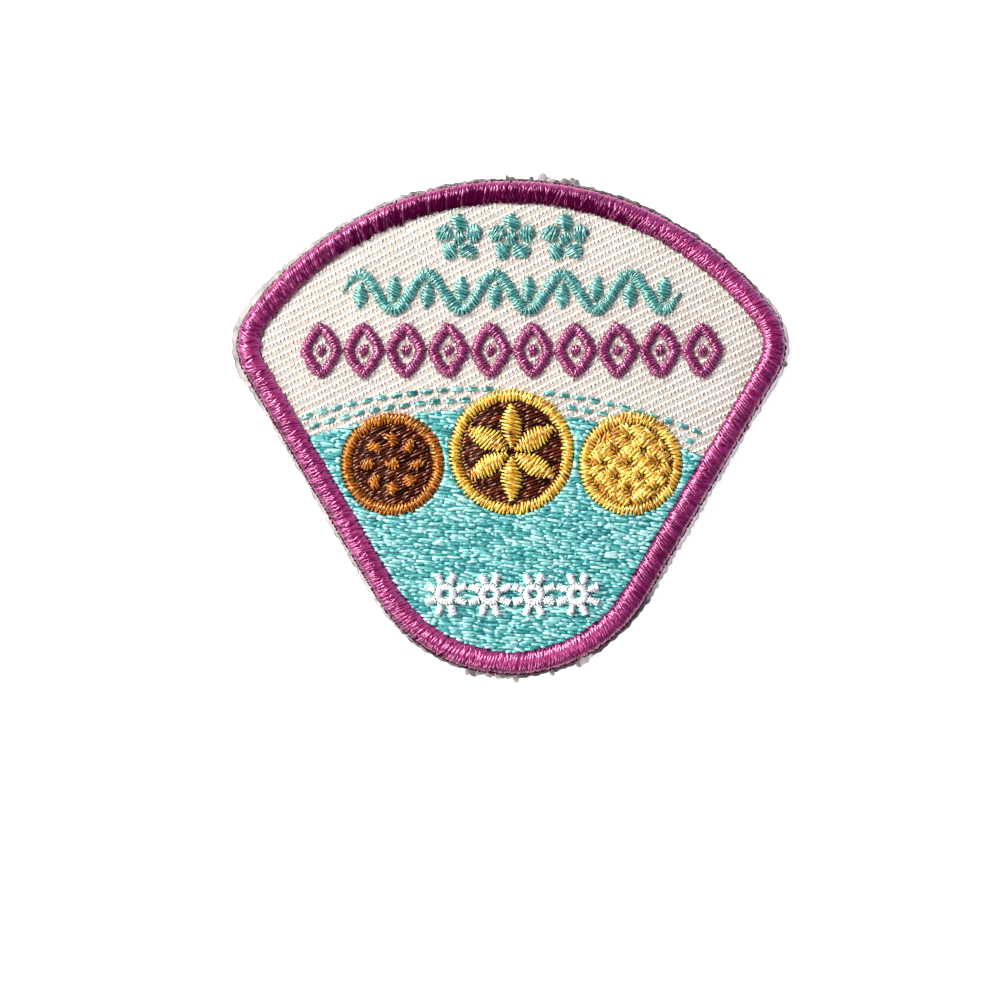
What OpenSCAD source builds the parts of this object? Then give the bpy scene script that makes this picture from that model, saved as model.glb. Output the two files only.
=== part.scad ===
// Embroidered cloth patch, lying face up: a fan-shaped twill ground held in a thick
// overlocked border, with rows of ornament over three round medallions on a hill.
// X runs across the patch, Y towards its arched top, Z up out of its face. The origin is
// under the middle of the back.

/* [Outline] */
// Width over the border, across the two upper corners
patch_w = 70; // [67:0.5:80]
// Height over the border, from the foot to the crown of the top arc
patch_h = 63; // [61:0.5:72]
// Radius of the long arc along the top
top_r = 42; // [40:0.5:52]
// Radius of the two upper corners
corner_r = 7; // [5:0.25:9]
// Radius of the rounded foot
foot_r = 20; // [18:0.5:22]

/* [Layers] */
// Thickness of the backing film
film_t = 0.3; // [0.2:0.05:0.6]
// How far the backing film shows past the border
film_margin = 0.5; // [0.2:0.1:1.2]
// Thickness of the twill ground with the threads sewn through it
twill_t = 1; // [1:0.1:2]
// Clearance between one layer and the next
ply_gap = 0.1; // [0.1:0.05:0.2]

/* [Border] */
// Width of the overlocked border
border_w = 3; // [2.4:0.1:3.4]
// Thickness of the border's thread over the twill
pile_t = 0.9; // [0.6:0.05:1.4]
// Thickness of the border's thread under the twill
lip_t = 0.3; // [0.2:0.05:0.6]
// Thickness of the border's thread outside the cut edge of the twill
wrap_t = 0.6; // [0.4:0.05:1]

/* [Stitches] */
// Width of a column of satin stitches
satin_w = 1.25; // [0.9:0.05:1.4]
// Height of satin stitches over what they are worked on
satin_t = 0.6; // [0.4:0.05:0.9]
// Width of a fine line of stitches
line_w = 0.6; // [0.5:0.05:0.8]
// Thickness of the filling stitches
fill_t = 0.4; // [0.3:0.05:0.6]
// Clear cloth between two neighbouring pieces of embroidery
stitch_gap = 0.2; // [0.12:0.02:0.3]

/* [Rows of ornament] */
// Clear cloth between the border and the top row
top_space = 1.3; // [1.1:0.1:2.5]
// Clear cloth between one row and the next
row_gap = 0.8; // [0.5:0.1:1.2]
// Clear cloth between the ends of a row and the border
end_space = 1.4; // [0.8:0.1:4]
// Number of blossoms in the top row
blossoms = 3; // [1:1:3]
// Diameter of a blossom
blossom_d = 6.2; // [5.4:0.1:6.4]
// Pitch of the blossoms
blossom_pitch = 6.8; // [6.6:0.1:7.4]
// Diameter of the knot in the middle of a blossom
eye_d = 1.5; // [1:0.1:1.8]
// Length of one wave of the vine
vine_wave = 8.6; // [8.2:0.1:10]
// Height of the vine, from the lowest to the highest edge of its stem
vine_h = 6; // [5.4:0.1:6.6]
// Length of a leaf of the vine
leaf_len = 3.3; // [2.4:0.1:3.6]
// Width of a leaf of the vine
leaf_w = 1.7; // [1.2:0.1:1.9]
// Clear cloth between the tip of a leaf and the vine's stem
leaf_gap = 0.5; // [0.4:0.05:0.8]
// Height of a lozenge of the third row
lozenge_h = 7.2; // [6:0.1:7.6]
// Width of a lozenge
lozenge_w = 5.2; // [4.6:0.1:5.8]
// Number of stars in the lowest row
stars = 4; // [1:1:4]
// Diameter of a star
star_d = 5.6; // [4.8:0.1:5.8]
// Diameter of the ring in a star
star_ring_d = 2.6; // [2:0.1:2.8]
// Clear cloth between the lowest row and the border at the foot
foot_space = 4.4; // [3.6:0.1:5]

/* [Picture] */
// Clear cloth between the rows and the rosette
picture_gap = 1.5; // [0.8:0.1:2]
// Radius of the rosette in the middle
rosette_r = 7.9; // [7:0.1:8.2]
// Radius of the two medallions at the sides
side_r = 6.5; // [5.8:0.1:6.7]
// How far the two medallions at the sides hang below the rosette
side_drop = 1.5; // [0:0.1:4]
// Width of the ring around each medallion
ring_w = 1.3; // [1:0.05:1.6]
// Width of a petal of the rosette
petal_w = 2.5; // [1.8:0.1:2.6]
// Diameter of the open middle between the rosette's petals
rosette_eye_d = 1.2; // [1:0.1:2]
// Length of a fleck on the dark medallion
fleck_len = 1.7; // [1.3:0.1:1.9]
// Width of a bar of the lattice
bar_w = 1.3; // [1:0.05:1.5]
// Radius of the crest of the hill
hill_r = 70; // [50:1:100]
// Height of the hill's crest above the middle of the rosette
crest_rise = 5.2; // [3:0.1:6]
// How far left of the middle the crest stands
crest_shift = 4; // [-4:0.5:8]

/* [Hidden] */
$fn = 64;

// Thread and cloth colours
film_white = [0.88, 0.87, 0.84];
twill_cream = [0.93, 0.91, 0.87];
orchid = [0.60, 0.13, 0.45];
plum = [0.50, 0.10, 0.35];
teal = [0.25, 0.62, 0.60];
aqua = [0.35, 0.72, 0.74];
snow = [0.96, 0.97, 0.97];
gold = [0.85, 0.68, 0.26];
amber = [0.72, 0.45, 0.14];
straw = [0.90, 0.78, 0.36];
cocoa = [0.28, 0.11, 0.05];
rust = [0.58, 0.27, 0.08];

// Heights of the layers, from the back up
border_z = film_t + ply_gap;
twill_z = border_z + lip_t + ply_gap;
work_z = twill_z + twill_t + ply_gap;
over_fill_z = work_z + fill_t + ply_gap;
border_top_z = work_z + pile_t;

// Centres of the arcs of the outline, about the middle of the patch
top_c = [0, patch_h / 2 - top_r];
corner_x = patch_w / 2 - corner_r;
corner_c = [corner_x, top_c.y + sqrt(pow(top_r - corner_r, 2) - pow(corner_x, 2))];
foot_c = [0, foot_r - patch_h / 2];

// Headings at which the outline passes from one arc to the next
side_run = corner_c - foot_c;
side_turn = atan2(side_run.y, side_run.x) - acos((foot_r - corner_r) / norm(side_run));
top_turn = atan2(corner_c.y - top_c.y, corner_c.x);

// Distance of the straight side from the middle of the patch
side_reach = corner_c * heading(side_turn) + corner_r;

// Steps, in degrees, along the arcs of the outline
top_step = 3;
corner_step = 6;
foot_step = 4;

// Section of the border: squareness of its two arcs and the steps along each
pile_square = 2.3;
pile_steps = 9;
lip_steps = 5;

// Section of a column of satin stitches, as shares of its half width and of its height
satin_section = [[1, 0], [0.8, 0.62], [0, 1], [-0.8, 0.62], [-1, 0]];

// A leaf of satin stitches: width of its tips as a share of its width, and its fullness
tip_share = 0.12;
leaf_fullness = 0.8;

function heading(angle) = [cos(angle), sin(angle)];
function lerp(a, b, share) = a + (b - a) * share;
function mirrored(point) = [-point.x, point.y];

// Power of a value that keeps its sign, as in a rounded rectangle
function squared(value, squareness) = sign(value) * pow(abs(value), 2 / squareness);

// One arc of the outline as rows of centre, radius and heading, without its last point
function arc_stations(centre, radius, from, to, step) =
    let (count = ceil((to - from) / step))
    [for (i = [0 : count - 1]) [centre, radius, lerp(from, to, i / count)]];

stations = concat(
    arc_stations(corner_c, corner_r, side_turn, top_turn, corner_step),
    arc_stations(top_c, top_r, top_turn, 180 - top_turn, top_step),
    arc_stations(mirrored(corner_c), corner_r, 180 - top_turn, 180 - side_turn, corner_step),
    arc_stations(foot_c, foot_r, 180 - side_turn, 360 + side_turn, foot_step),
    [[foot_c, foot_r, 360 + side_turn]]
);

function station_point(station, inset) = station[0] + (station[1] - inset) * heading(station[2]);
function fan_points(inset) = [for (station = stations) station_point(station, inset)];

// Half of an arc's chord at a height, within an inset of the arc
function half_chord(centre, radius, y, inset) =
    centre.x + sqrt(max(pow(radius - inset, 2) - pow(y - centre.y, 2), 0));

// Half of the width at a height, within an inset of the outline
function half_width_at(y, inset) =
    y > corner_c.y + (corner_r - inset) * sin(top_turn) ? half_chord(top_c, top_r, y, inset) :
    y > corner_c.y + (corner_r - inset) * sin(side_turn) ?
        half_chord(corner_c, corner_r, y, inset) :
    y > foot_c.y + (foot_r - inset) * sin(side_turn) ?
        (side_reach - inset - y * sin(side_turn)) / cos(side_turn) :
    half_chord(foot_c, foot_r, y, inset);

// Half of the width that a row may take between its lowest and highest edge
function row_half(y, height) = min(
    half_width_at(y - height / 2, border_w + end_space),
    half_width_at(y + height / 2, border_w + end_space)
);

// Heights of the rows, stacked down from the top, and of the lowest one over the foot
blossom_y = patch_h / 2 - border_w - top_space - blossom_d / 2;
vine_y = blossom_y - blossom_d / 2 - row_gap - vine_h / 2;
lozenge_y = vine_y - vine_h / 2 - row_gap - lozenge_h / 2;
star_y = border_w + foot_space + star_d / 2 - patch_h / 2;

// The side medallions lie midway between the rosette and the border
rosette_c = [0, lozenge_y - lozenge_h / 2 - picture_gap - rosette_r];
side_y = rosette_c.y - side_drop;
side_room = side_reach - border_w + rosette_r - side_y * sin(side_turn);
side_x = (
    sqrt(pow(side_room, 2) - pow(side_drop * sin(side_turn), 2)) - side_room * cos(side_turn)
) / pow(sin(side_turn), 2);
right_c = [side_x, side_y];
left_c = mirrored(right_c);

// Turn at which a squared arc has risen to a share of its height
function turn_at(share) = asin(pow(share, pile_square / 2));

// One arc of the border's section, with the outside of the border at the right
function section_arc(from, to, steps, middle_z, rise) = [
    for (i = [0 : steps]) let (turn = lerp(from, to, i / steps))
        [
            border_w / 2 * (squared(cos(turn), pile_square) - 1),
            middle_z + rise * squared(sin(turn), pile_square)
        ]
];

// A body through sections of equal length, each listed clockwise to who walks along it
module swept(sections, closed) {
    count = len(sections);
    sides = len(sections[0]);
    walls = [
        for (i = [0 : closed ? count - 1 : count - 2], j = [0 : sides - 1])
            let (here = i * sides, next = ((i + 1) % count) * sides, k = (j + 1) % sides)
            each [[here + j, next + j, next + k], [here + j, next + k, here + k]]
    ];
    ends = closed ? [] : [
        [for (j = [0 : sides - 1]) j],
        [for (j = [sides - 1 : -1 : 0]) (count - 1) * sides + j]
    ];
    polyhedron(points = [for (section = sections) each section], faces = concat(walls, ends));
}

// Unit vector to the left of a path at one of its points
function left_of(path, i, closed) =
    let (
        count = len(path),
        before = closed ? path[(i + count - 1) % count] : path[max(i - 1, 0)],
        after = closed ? path[(i + 1) % count] : path[min(i + 1, count - 1)],
        run = after - before
    )
    [-run.y, run.x] / norm(run);

// A domed column of satin stitches along a path, with its half width at each point
module satin(path, halves, closed = false) {
    swept([
        for (i = [0 : len(path) - 1]) let (left = left_of(path, i, closed))
            [
                for (corner = satin_section)
                    let (place = path[i] + corner.x * halves[i] * left)
                    [place.x, place.y, corner.y * satin_t]
            ]
    ], closed);
}

// A leaf of satin stitches along X, pointed at both ends
module satin_leaf(from, to, width, steps = 6) {
    shares = [for (i = [0 : steps]) i / steps];
    satin(
        [for (share = shares) [lerp(from, to, share), 0]],
        [for (share = shares) width / 2 * max(pow(sin(180 * share), leaf_fullness), tip_share)]
    );
}

// A round section that bulges over a base line, cut square at its sides
module dome_section(half, rise) {
    dome_r = (half * half + rise * rise) / (2 * rise);
    intersection() {
        translate([0, rise - dome_r]) circle(dome_r);
        translate([-half, 0]) square([2 * half, rise]);
    }
}

// A round knot of thread
module knot(radius) {
    rotate_extrude() intersection() {
        dome_section(radius, satin_t);
        square([radius, satin_t]);
    }
}

// The ring of satin stitches around a medallion, by its outer radius
module medallion_ring(radius) {
    rotate_extrude() translate([radius - ring_w / 2, 0])
        dome_section(ring_w / 2, fill_t + satin_t);
}

// The flat filling inside a medallion's ring
module medallion_ground(radius) {
    cylinder(h = fill_t, r = radius - ring_w - stitch_gap);
}

// How far the work on a medallion's ground reaches from its middle
function ground_reach(radius) = radius - ring_w - 2 * stitch_gap;

module backing_film() {
    color(film_white) {
        linear_extrude(film_t) polygon(fan_points(-film_margin));
        linear_extrude(twill_z - ply_gap) polygon(fan_points(border_w + ply_gap));
    }
}

module twill_ground() {
    color(twill_cream) translate([0, 0, twill_z])
        linear_extrude(twill_t) polygon(fan_points(wrap_t + ply_gap));
}

module merrow_border() {
    middle_z = twill_z + twill_t / 2;
    slot_rise = twill_t / 2 + ply_gap;
    over = border_top_z - middle_z;
    under = middle_z - border_z;
    section = concat(
        section_arc(360, 180 + turn_at(slot_rise / under), lip_steps, middle_z, under),
        [[-wrap_t, middle_z - slot_rise], [-wrap_t, middle_z + slot_rise]],
        section_arc(180 - turn_at(slot_rise / over), 0, pile_steps, middle_z, over)
    );
    // The last point of the section repeats its first
    corners = len(section) - 1;
    color(orchid) swept([
        for (station = stations)
            [
                for (i = [0 : corners - 1])
                    let (place = station_point(station, -section[i].x))
                    [place.x, place.y, section[i].y]
            ]
    ], true);
}

module hill_fill() {
    crest = [-crest_shift, rosette_c.y + crest_rise];
    color(aqua) translate([0, 0, work_z]) linear_extrude(fill_t) difference() {
        intersection() {
            polygon(fan_points(border_w + stitch_gap));
            translate(crest - [0, hill_r]) circle(hill_r);
        }
        for (centre = [left_c, right_c]) translate(centre) circle(side_r + stitch_gap);
        translate(rosette_c) circle(rosette_r + stitch_gap);
    }
}

module blossom() {
    petals = 5;
    inner = eye_d / 2 + stitch_gap;
    outer = blossom_d / 2;
    petal_room = (inner + outer) * sin(180 / petals) - stitch_gap;
    for (i = [0 : petals - 1]) rotate(90 + i * 360 / petals)
        satin_leaf(inner, outer, petal_room);
    knot(eye_d / 2);
}

module blossom_row() {
    color(teal) for (i = [0 : blossoms - 1])
        translate([(i - (blossoms - 1) / 2) * blossom_pitch, blossom_y, work_z]) blossom();
}

// The vine takes as many whole waves as fit in its row
vine_waves = floor(2 * row_half(vine_y, vine_h) / vine_wave);
vine_swing = (vine_h - satin_w) / 2;
vine_steps = 12;

function vine_x(turns) = (turns - vine_waves / 2) * vine_wave;

module vine_stem() {
    taper_steps = 3;
    last = vine_waves * vine_steps;
    path = [
        for (i = [0 : last]) [vine_x(i / vine_steps), vine_swing * sin(360 * i / vine_steps)]
    ];
    halves = [
        for (i = [0 : last])
            satin_w / 2 * min(1, lerp(tip_share, 1, min(i, last - i) / taper_steps))
    ];
    color(teal) translate([0, vine_y, work_z]) satin(path, halves);
}

// One leaf stands in each hollow of the vine
module vine_leaves() {
    lean = 8;
    leaf_y = vine_swing - satin_w / 2 - leaf_gap - leaf_len / 2;
    color(teal) for (i = [0 : 2 * vine_waves - 1]) {
        side = i % 2 == 0 ? 1 : -1;
        translate([vine_x(i / 2 + 0.25), vine_y + side * leaf_y, work_z])
            rotate(90 - lean) satin_leaf(-leaf_len / 2, leaf_len / 2, leaf_w);
    }
}

module lozenge() {
    steps = 20;
    squareness = 1.25;
    path = [
        for (i = [0 : steps - 1]) let (turn = 360 * i / steps)
            [
                (lozenge_w - satin_w) / 2 * squared(cos(turn), squareness),
                (lozenge_h - satin_w) / 2 * squared(sin(turn), squareness)
            ]
    ];
    satin(path, [for (point = path) satin_w / 2], true);
    knot(satin_w / 2);
}

// The third row takes as many lozenges as fit in it
module lozenge_row() {
    pitch = lozenge_w + stitch_gap;
    count = floor(2 * row_half(lozenge_y, lozenge_h) / pitch);
    color(plum) for (i = [0 : count - 1])
        translate([(i - (count - 1) / 2) * pitch, lozenge_y, work_z]) lozenge();
}

module star() {
    rays = 8;
    ring_steps = 16;
    ring_r = (star_ring_d - line_w) / 2;
    ring = [for (i = [0 : ring_steps - 1]) ring_r * heading(360 * i / ring_steps)];
    satin(ring, [for (point = ring) line_w / 2], true);
    for (i = [0 : rays - 1]) rotate((i + 0.5) * 360 / rays)
        satin_leaf(star_ring_d / 2 + stitch_gap, star_d / 2, line_w, 2);
}

module star_row() {
    color(snow) for (i = [0 : stars - 1])
        translate([(i - (stars - 1) / 2) * star_d, star_y, over_fill_z]) star();
}

module rosette_ground() {
    color(cocoa) translate([rosette_c.x, rosette_c.y, work_z]) medallion_ground(rosette_r);
}

module rosette_ring() {
    color(gold) translate([rosette_c.x, rosette_c.y, work_z]) medallion_ring(rosette_r);
}

module rosette_petals() {
    petals = 6;
    color(gold) translate([rosette_c.x, rosette_c.y, over_fill_z])
        for (i = [0 : petals - 1]) rotate(90 + i * 360 / petals)
            satin_leaf(rosette_eye_d / 2, ground_reach(rosette_r), petal_w, 8);
}

module fleck_ground() {
    color(cocoa) translate([left_c.x, left_c.y, work_z]) medallion_ground(side_r);
}

module fleck_ring() {
    color(rust) translate([left_c.x, left_c.y, work_z]) medallion_ring(side_r);
}

module fleck() {
    slimness = 0.7;
    satin_leaf(-fleck_len / 2, fleck_len / 2, fleck_len * slimness, 4);
}

module flecks() {
    count = 8;
    middle_r = ground_reach(side_r) - fleck_len;
    color(rust) translate([left_c.x, left_c.y, over_fill_z]) {
        for (i = [0 : count - 1]) rotate(i * 360 / count) translate([middle_r, 0]) fleck();
        fleck();
    }
}

module lattice_ground() {
    color(amber) translate([right_c.x, right_c.y, work_z]) medallion_ground(side_r);
}

module lattice_ring() {
    color(straw) translate([right_c.x, right_c.y, work_z]) medallion_ring(side_r);
}

module lattice_bars() {
    bars = 4;
    reach = ground_reach(side_r);
    pitch = 2 * reach / bars;
    color(straw) translate([right_c.x, right_c.y, over_fill_z]) intersection() {
        cylinder(h = satin_t, r = reach);
        for (lay = [45, 135], i = [0 : bars - 1])
            rotate(lay) translate([-reach, (i - (bars - 1) / 2) * pitch, 0])
                rotate([90, 0, 90]) linear_extrude(2 * reach) dome_section(bar_w / 2, satin_t);
    }
}

backing_film();
twill_ground();
merrow_border();
hill_fill();
blossom_row();
vine_stem();
vine_leaves();
lozenge_row();
star_row();
rosette_ground();
rosette_ring();
rosette_petals();
fleck_ground();
fleck_ring();
flecks();
lattice_ground();
lattice_ring();
lattice_bars();
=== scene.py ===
import logging
import math
from dataclasses import dataclass, field, replace
from enum import Enum
from typing import Callable, ClassVar, NamedTuple

import bpy
import numpy as np
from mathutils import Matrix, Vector


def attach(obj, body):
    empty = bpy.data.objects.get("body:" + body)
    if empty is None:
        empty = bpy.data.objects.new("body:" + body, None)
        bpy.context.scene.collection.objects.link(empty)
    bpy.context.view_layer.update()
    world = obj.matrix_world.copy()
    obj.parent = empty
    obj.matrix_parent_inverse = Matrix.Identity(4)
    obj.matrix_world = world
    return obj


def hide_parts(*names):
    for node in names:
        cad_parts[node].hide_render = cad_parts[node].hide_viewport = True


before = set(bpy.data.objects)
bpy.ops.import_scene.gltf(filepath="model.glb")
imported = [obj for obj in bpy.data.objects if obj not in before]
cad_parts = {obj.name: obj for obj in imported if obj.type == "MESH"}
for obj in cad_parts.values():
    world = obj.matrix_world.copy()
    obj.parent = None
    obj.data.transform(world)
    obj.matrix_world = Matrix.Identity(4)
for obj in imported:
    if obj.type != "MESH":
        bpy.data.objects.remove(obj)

"""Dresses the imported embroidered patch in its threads, one stitch at a time.

Lengths are in millimetres until a mesh is written. The patch lies face up: X runs across
it, Y towards its arched top and Z up, with the origin under the middle of its back.
"""

LOG = logging.getLogger("patch")
Array = np.ndarray
Region = Callable[[Array], Array]
Colour = tuple[float, float, float]
Point = tuple[float, float]

MM = 0.001
BODY = "root"
UP = np.array([0.0, 0.0, 1.0])
TONE = "tone"
THREAD_UV = "thread_uv"

# Heights of the layers, from the back up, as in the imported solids
FILM_Z = 0.3
BORDER_Z = 0.4
LAND_Z = 0.7
TWILL_Z = 0.8
CLOTH_Z = 1.8
WORK_Z = 1.9
FILL_Z = 2.3
OVER_FILL_Z = 2.4
BORDER_TOP_Z = 2.8
SATIN_T = 0.6

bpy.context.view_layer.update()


def heading(angle: float | Array) -> Array:
    """Unit vectors in the plane at angles in radians, with x and y along the last axis."""
    return np.stack([np.cos(angle), np.sin(angle)], axis=-1)


def toward(degrees: float) -> Array:
    """The unit vector in the plane at an angle in degrees."""
    return heading(math.radians(degrees))


def unit(vectors: Array) -> Array:
    """Vectors scaled to a length of one, along the last axis."""
    return vectors / np.maximum(np.linalg.norm(vectors, axis=-1, keepdims=True), 1e-9)


def looped(rows: Array) -> Array:
    """Rows with the first one again at the end."""
    return np.concatenate([rows, rows[:1]])


def lengths(paths: Array) -> Array:
    """Lengths along a path, or along several.

    Args:
        paths: The points of the path or paths, with their coordinates along the last axis.
    Returns:
        The length from the start to each point.
    """
    steps = np.linalg.norm(np.diff(paths, axis=-2), axis=-1)
    return np.concatenate([np.zeros((*steps.shape[:-1], 1)), np.cumsum(steps, axis=-1)], axis=-1)


def trace(spots: Array, at: Array, rows: Array) -> Array:
    """Reads x and y at lengths along a path.

    Args:
        spots: The lengths.
        at: Length at each of the path's points.
        rows: The x and y at each of them.
    Returns:
        The x and y at the lengths, along the last axis.
    """
    return np.stack([np.interp(spots, at, rows[:, k]) for k in (0, 1)], axis=-1)


def lifted(flat: Array, z: float | Array) -> Array:
    """Points in the plane with a height.

    Args:
        flat: Points with x and y along the last axis.
        z: One height, or one a point.
    Returns:
        The points with x, y and z along the last axis.
    """
    height = np.broadcast_to(np.asarray(z, float)[..., None], (*flat.shape[:-1], 1))
    return np.concatenate([flat, height], axis=-1)


def bulged(turn: Array, power: float) -> tuple[Array, Array]:
    """Points of a rounded lozenge or box that fills a square of half side one.

    Args:
        turn: Their angles, in radians.
        power: Two for a lozenge, one for a circle and less for a box.
    Returns:
        Their x and y.
    """
    cos, sin = np.cos(turn), np.sin(turn)
    return np.sign(cos) * np.abs(cos) ** power, np.sign(sin) * np.abs(sin) ** power


def in_row(count: int, pitch: float, y: float) -> Array:
    """Middles of things that stand in a row, evenly about x = 0."""
    return np.array([((i - (count - 1) / 2) * pitch, y) for i in range(count)])


class Slant(Enum):
    """Which way the wraps of a layer lean across the border."""

    FORWARD = 1
    BACKWARD = -1


@dataclass(frozen=True)
class Outline:
    """The fan-shaped outline of the patch: two corner arcs, a top arc and a rounded foot."""

    width: float = 70.0
    height: float = 63.0
    top_r: float = 42.0
    corner_r: float = 7.0
    foot_r: float = 20.0
    middle_inset: float = 1.5
    arc_points: int = 160

    def arcs(self) -> list[tuple[Array, float, float, float]]:
        """The outline's arcs in order.

        Returns:
            Each arc's centre, radius, first heading and last heading.
        """
        top_c = np.array([0.0, self.height / 2 - self.top_r])
        corner_x = self.width / 2 - self.corner_r
        corner_y = top_c[1] + math.sqrt((self.top_r - self.corner_r) ** 2 - corner_x**2)
        corner_c = np.array([corner_x, corner_y])
        foot_c = np.array([0.0, self.foot_r - self.height / 2])
        run = corner_c - foot_c
        lean = math.acos((self.foot_r - self.corner_r) / np.linalg.norm(run))
        side = math.atan2(run[1], run[0]) - lean
        top = math.atan2(corner_y - top_c[1], corner_x)
        return [
            (corner_c, self.corner_r, side, top),
            (top_c, self.top_r, top, math.pi - top),
            (corner_c * [-1, 1], self.corner_r, math.pi - top, math.pi - side),
            (foot_c, self.foot_r, math.pi - side, 2 * math.pi + side),
        ]

    def stations(self) -> tuple[Array, Array]:
        """Points all round the outline.

        Returns:
            The points and the outline's outward headings there.
        """
        points, outward = [], []
        for centre, radius, start, end in self.arcs():
            out = heading(np.linspace(start, end, self.arc_points))
            points.append(centre + radius * out)
            outward.append(out)
        return np.concatenate(points), np.concatenate(outward)

    def lengths(self) -> Array:
        """Length along the middle of the border at each station, with the closing one last."""
        points, outward = self.stations()
        return lengths(looped(points - self.middle_inset * outward))

    def whole(self) -> float:
        """Length all the way round, along the middle of the border."""
        return self.lengths()[-1]

    def around(self, count: int) -> Array:
        """Lengths along the border at evenly spaced places."""
        return np.arange(count) / count * self.whole()

    def place(self, along: Array, inset: float | Array) -> tuple[Array, Array]:
        """Points at a length along the border and a distance in from the outline.

        Args:
            along: Lengths along the middle of the border, taken modulo its whole length.
            inset: Distances in from the outline, negative outside it.
        Returns:
            The points and the outward headings.
        """
        points, outward = self.stations()
        at = self.lengths()
        along = np.mod(along, at[-1])
        out = unit(trace(along, at, looped(outward)))
        return trace(along, at, looped(points)) - np.asarray(inset)[..., None] * out, out

    def holds(self, points: Array, inset: float) -> Array:
        """Which points lie inside the outline by at least a distance.

        Args:
            points: Points in the plane, one a row.
            inset: Distance in from the outline.
        Returns:
            One truth value a point.
        """
        edge, outward = self.stations()
        reach = np.einsum("ij,ij->i", edge, outward)
        kept = slice(None, None, 4)
        return ((points[:, :2] @ outward[kept].T) <= reach[kept] - inset).all(axis=1)


@dataclass(frozen=True)
class Layout:
    """Where the ornaments stand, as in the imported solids."""

    border_w: float = 3.0
    blossom_y: float = 24.1
    vine_y: float = 17.2
    lozenge_y: float = 9.8
    star_y: float = -21.3
    rosette_c: Point = (0.0, -3.2)
    rosette_r: float = 7.9
    left_c: Point = (-15.18, -4.7)
    right_c: Point = (15.18, -4.7)
    side_r: float = 6.5
    ring_w: float = 1.3
    hill_c: Point = (-4.0, -68.0)
    hill_r: float = 70.0
    stitch_gap: float = 0.2


OUTLINE = Outline()
LAYOUT = Layout()


def disc(centre: Point, radius: float) -> Region:
    """The region within a circle."""
    return lambda points: np.linalg.norm(points[:, :2] - np.array(centre), axis=1) <= radius


def medallions(grow: float) -> Region:
    """The region of the three medallions.

    Args:
        grow: How far it reaches past their rims.
    Returns:
        A test that takes points and gives one truth value each.
    """
    discs = [
        disc(LAYOUT.rosette_c, LAYOUT.rosette_r + grow),
        disc(LAYOUT.left_c, LAYOUT.side_r + grow),
        disc(LAYOUT.right_c, LAYOUT.side_r + grow),
    ]
    return lambda points: np.any([part(points) for part in discs], axis=0)


def cells(rows: int, columns: int) -> tuple[Array, Array, Array]:
    """The faces of a tube that is cut open.

    Args:
        rows: Steps along the tube.
        columns: Steps round it.
    Returns:
        Each face's row, column and next column.
    """
    row, column = np.divmod(np.arange(rows * columns), columns)
    return row, column, (column + 1) % columns


def sections(
    path: Array, run: Array, level: Array, half_w: float | Array, half_h: float | Array, sides: int
) -> Array:
    """Rings of points round the points of a path.

    Args:
        path: The path's points.
        run: Its direction at each of them.
        level: The direction of the section's width.
        half_w: Half width of the section.
        half_h: Half height of the section.
        sides: Points in a ring.
    Returns:
        The rings, with their points along the last axis but one.
    """
    side = unit(level - (level * run).sum(-1, keepdims=True) * run)
    top = np.cross(run, side)
    turn = np.arange(sides)[:, None] * 2 * math.pi / sides
    wide, high = (np.asarray(half, float)[..., None, None] for half in (half_w, half_h))
    across = wide * np.cos(turn) * side[..., None, :]
    return path[..., None, :] + across + high * np.sin(turn) * top[..., None, :]


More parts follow.
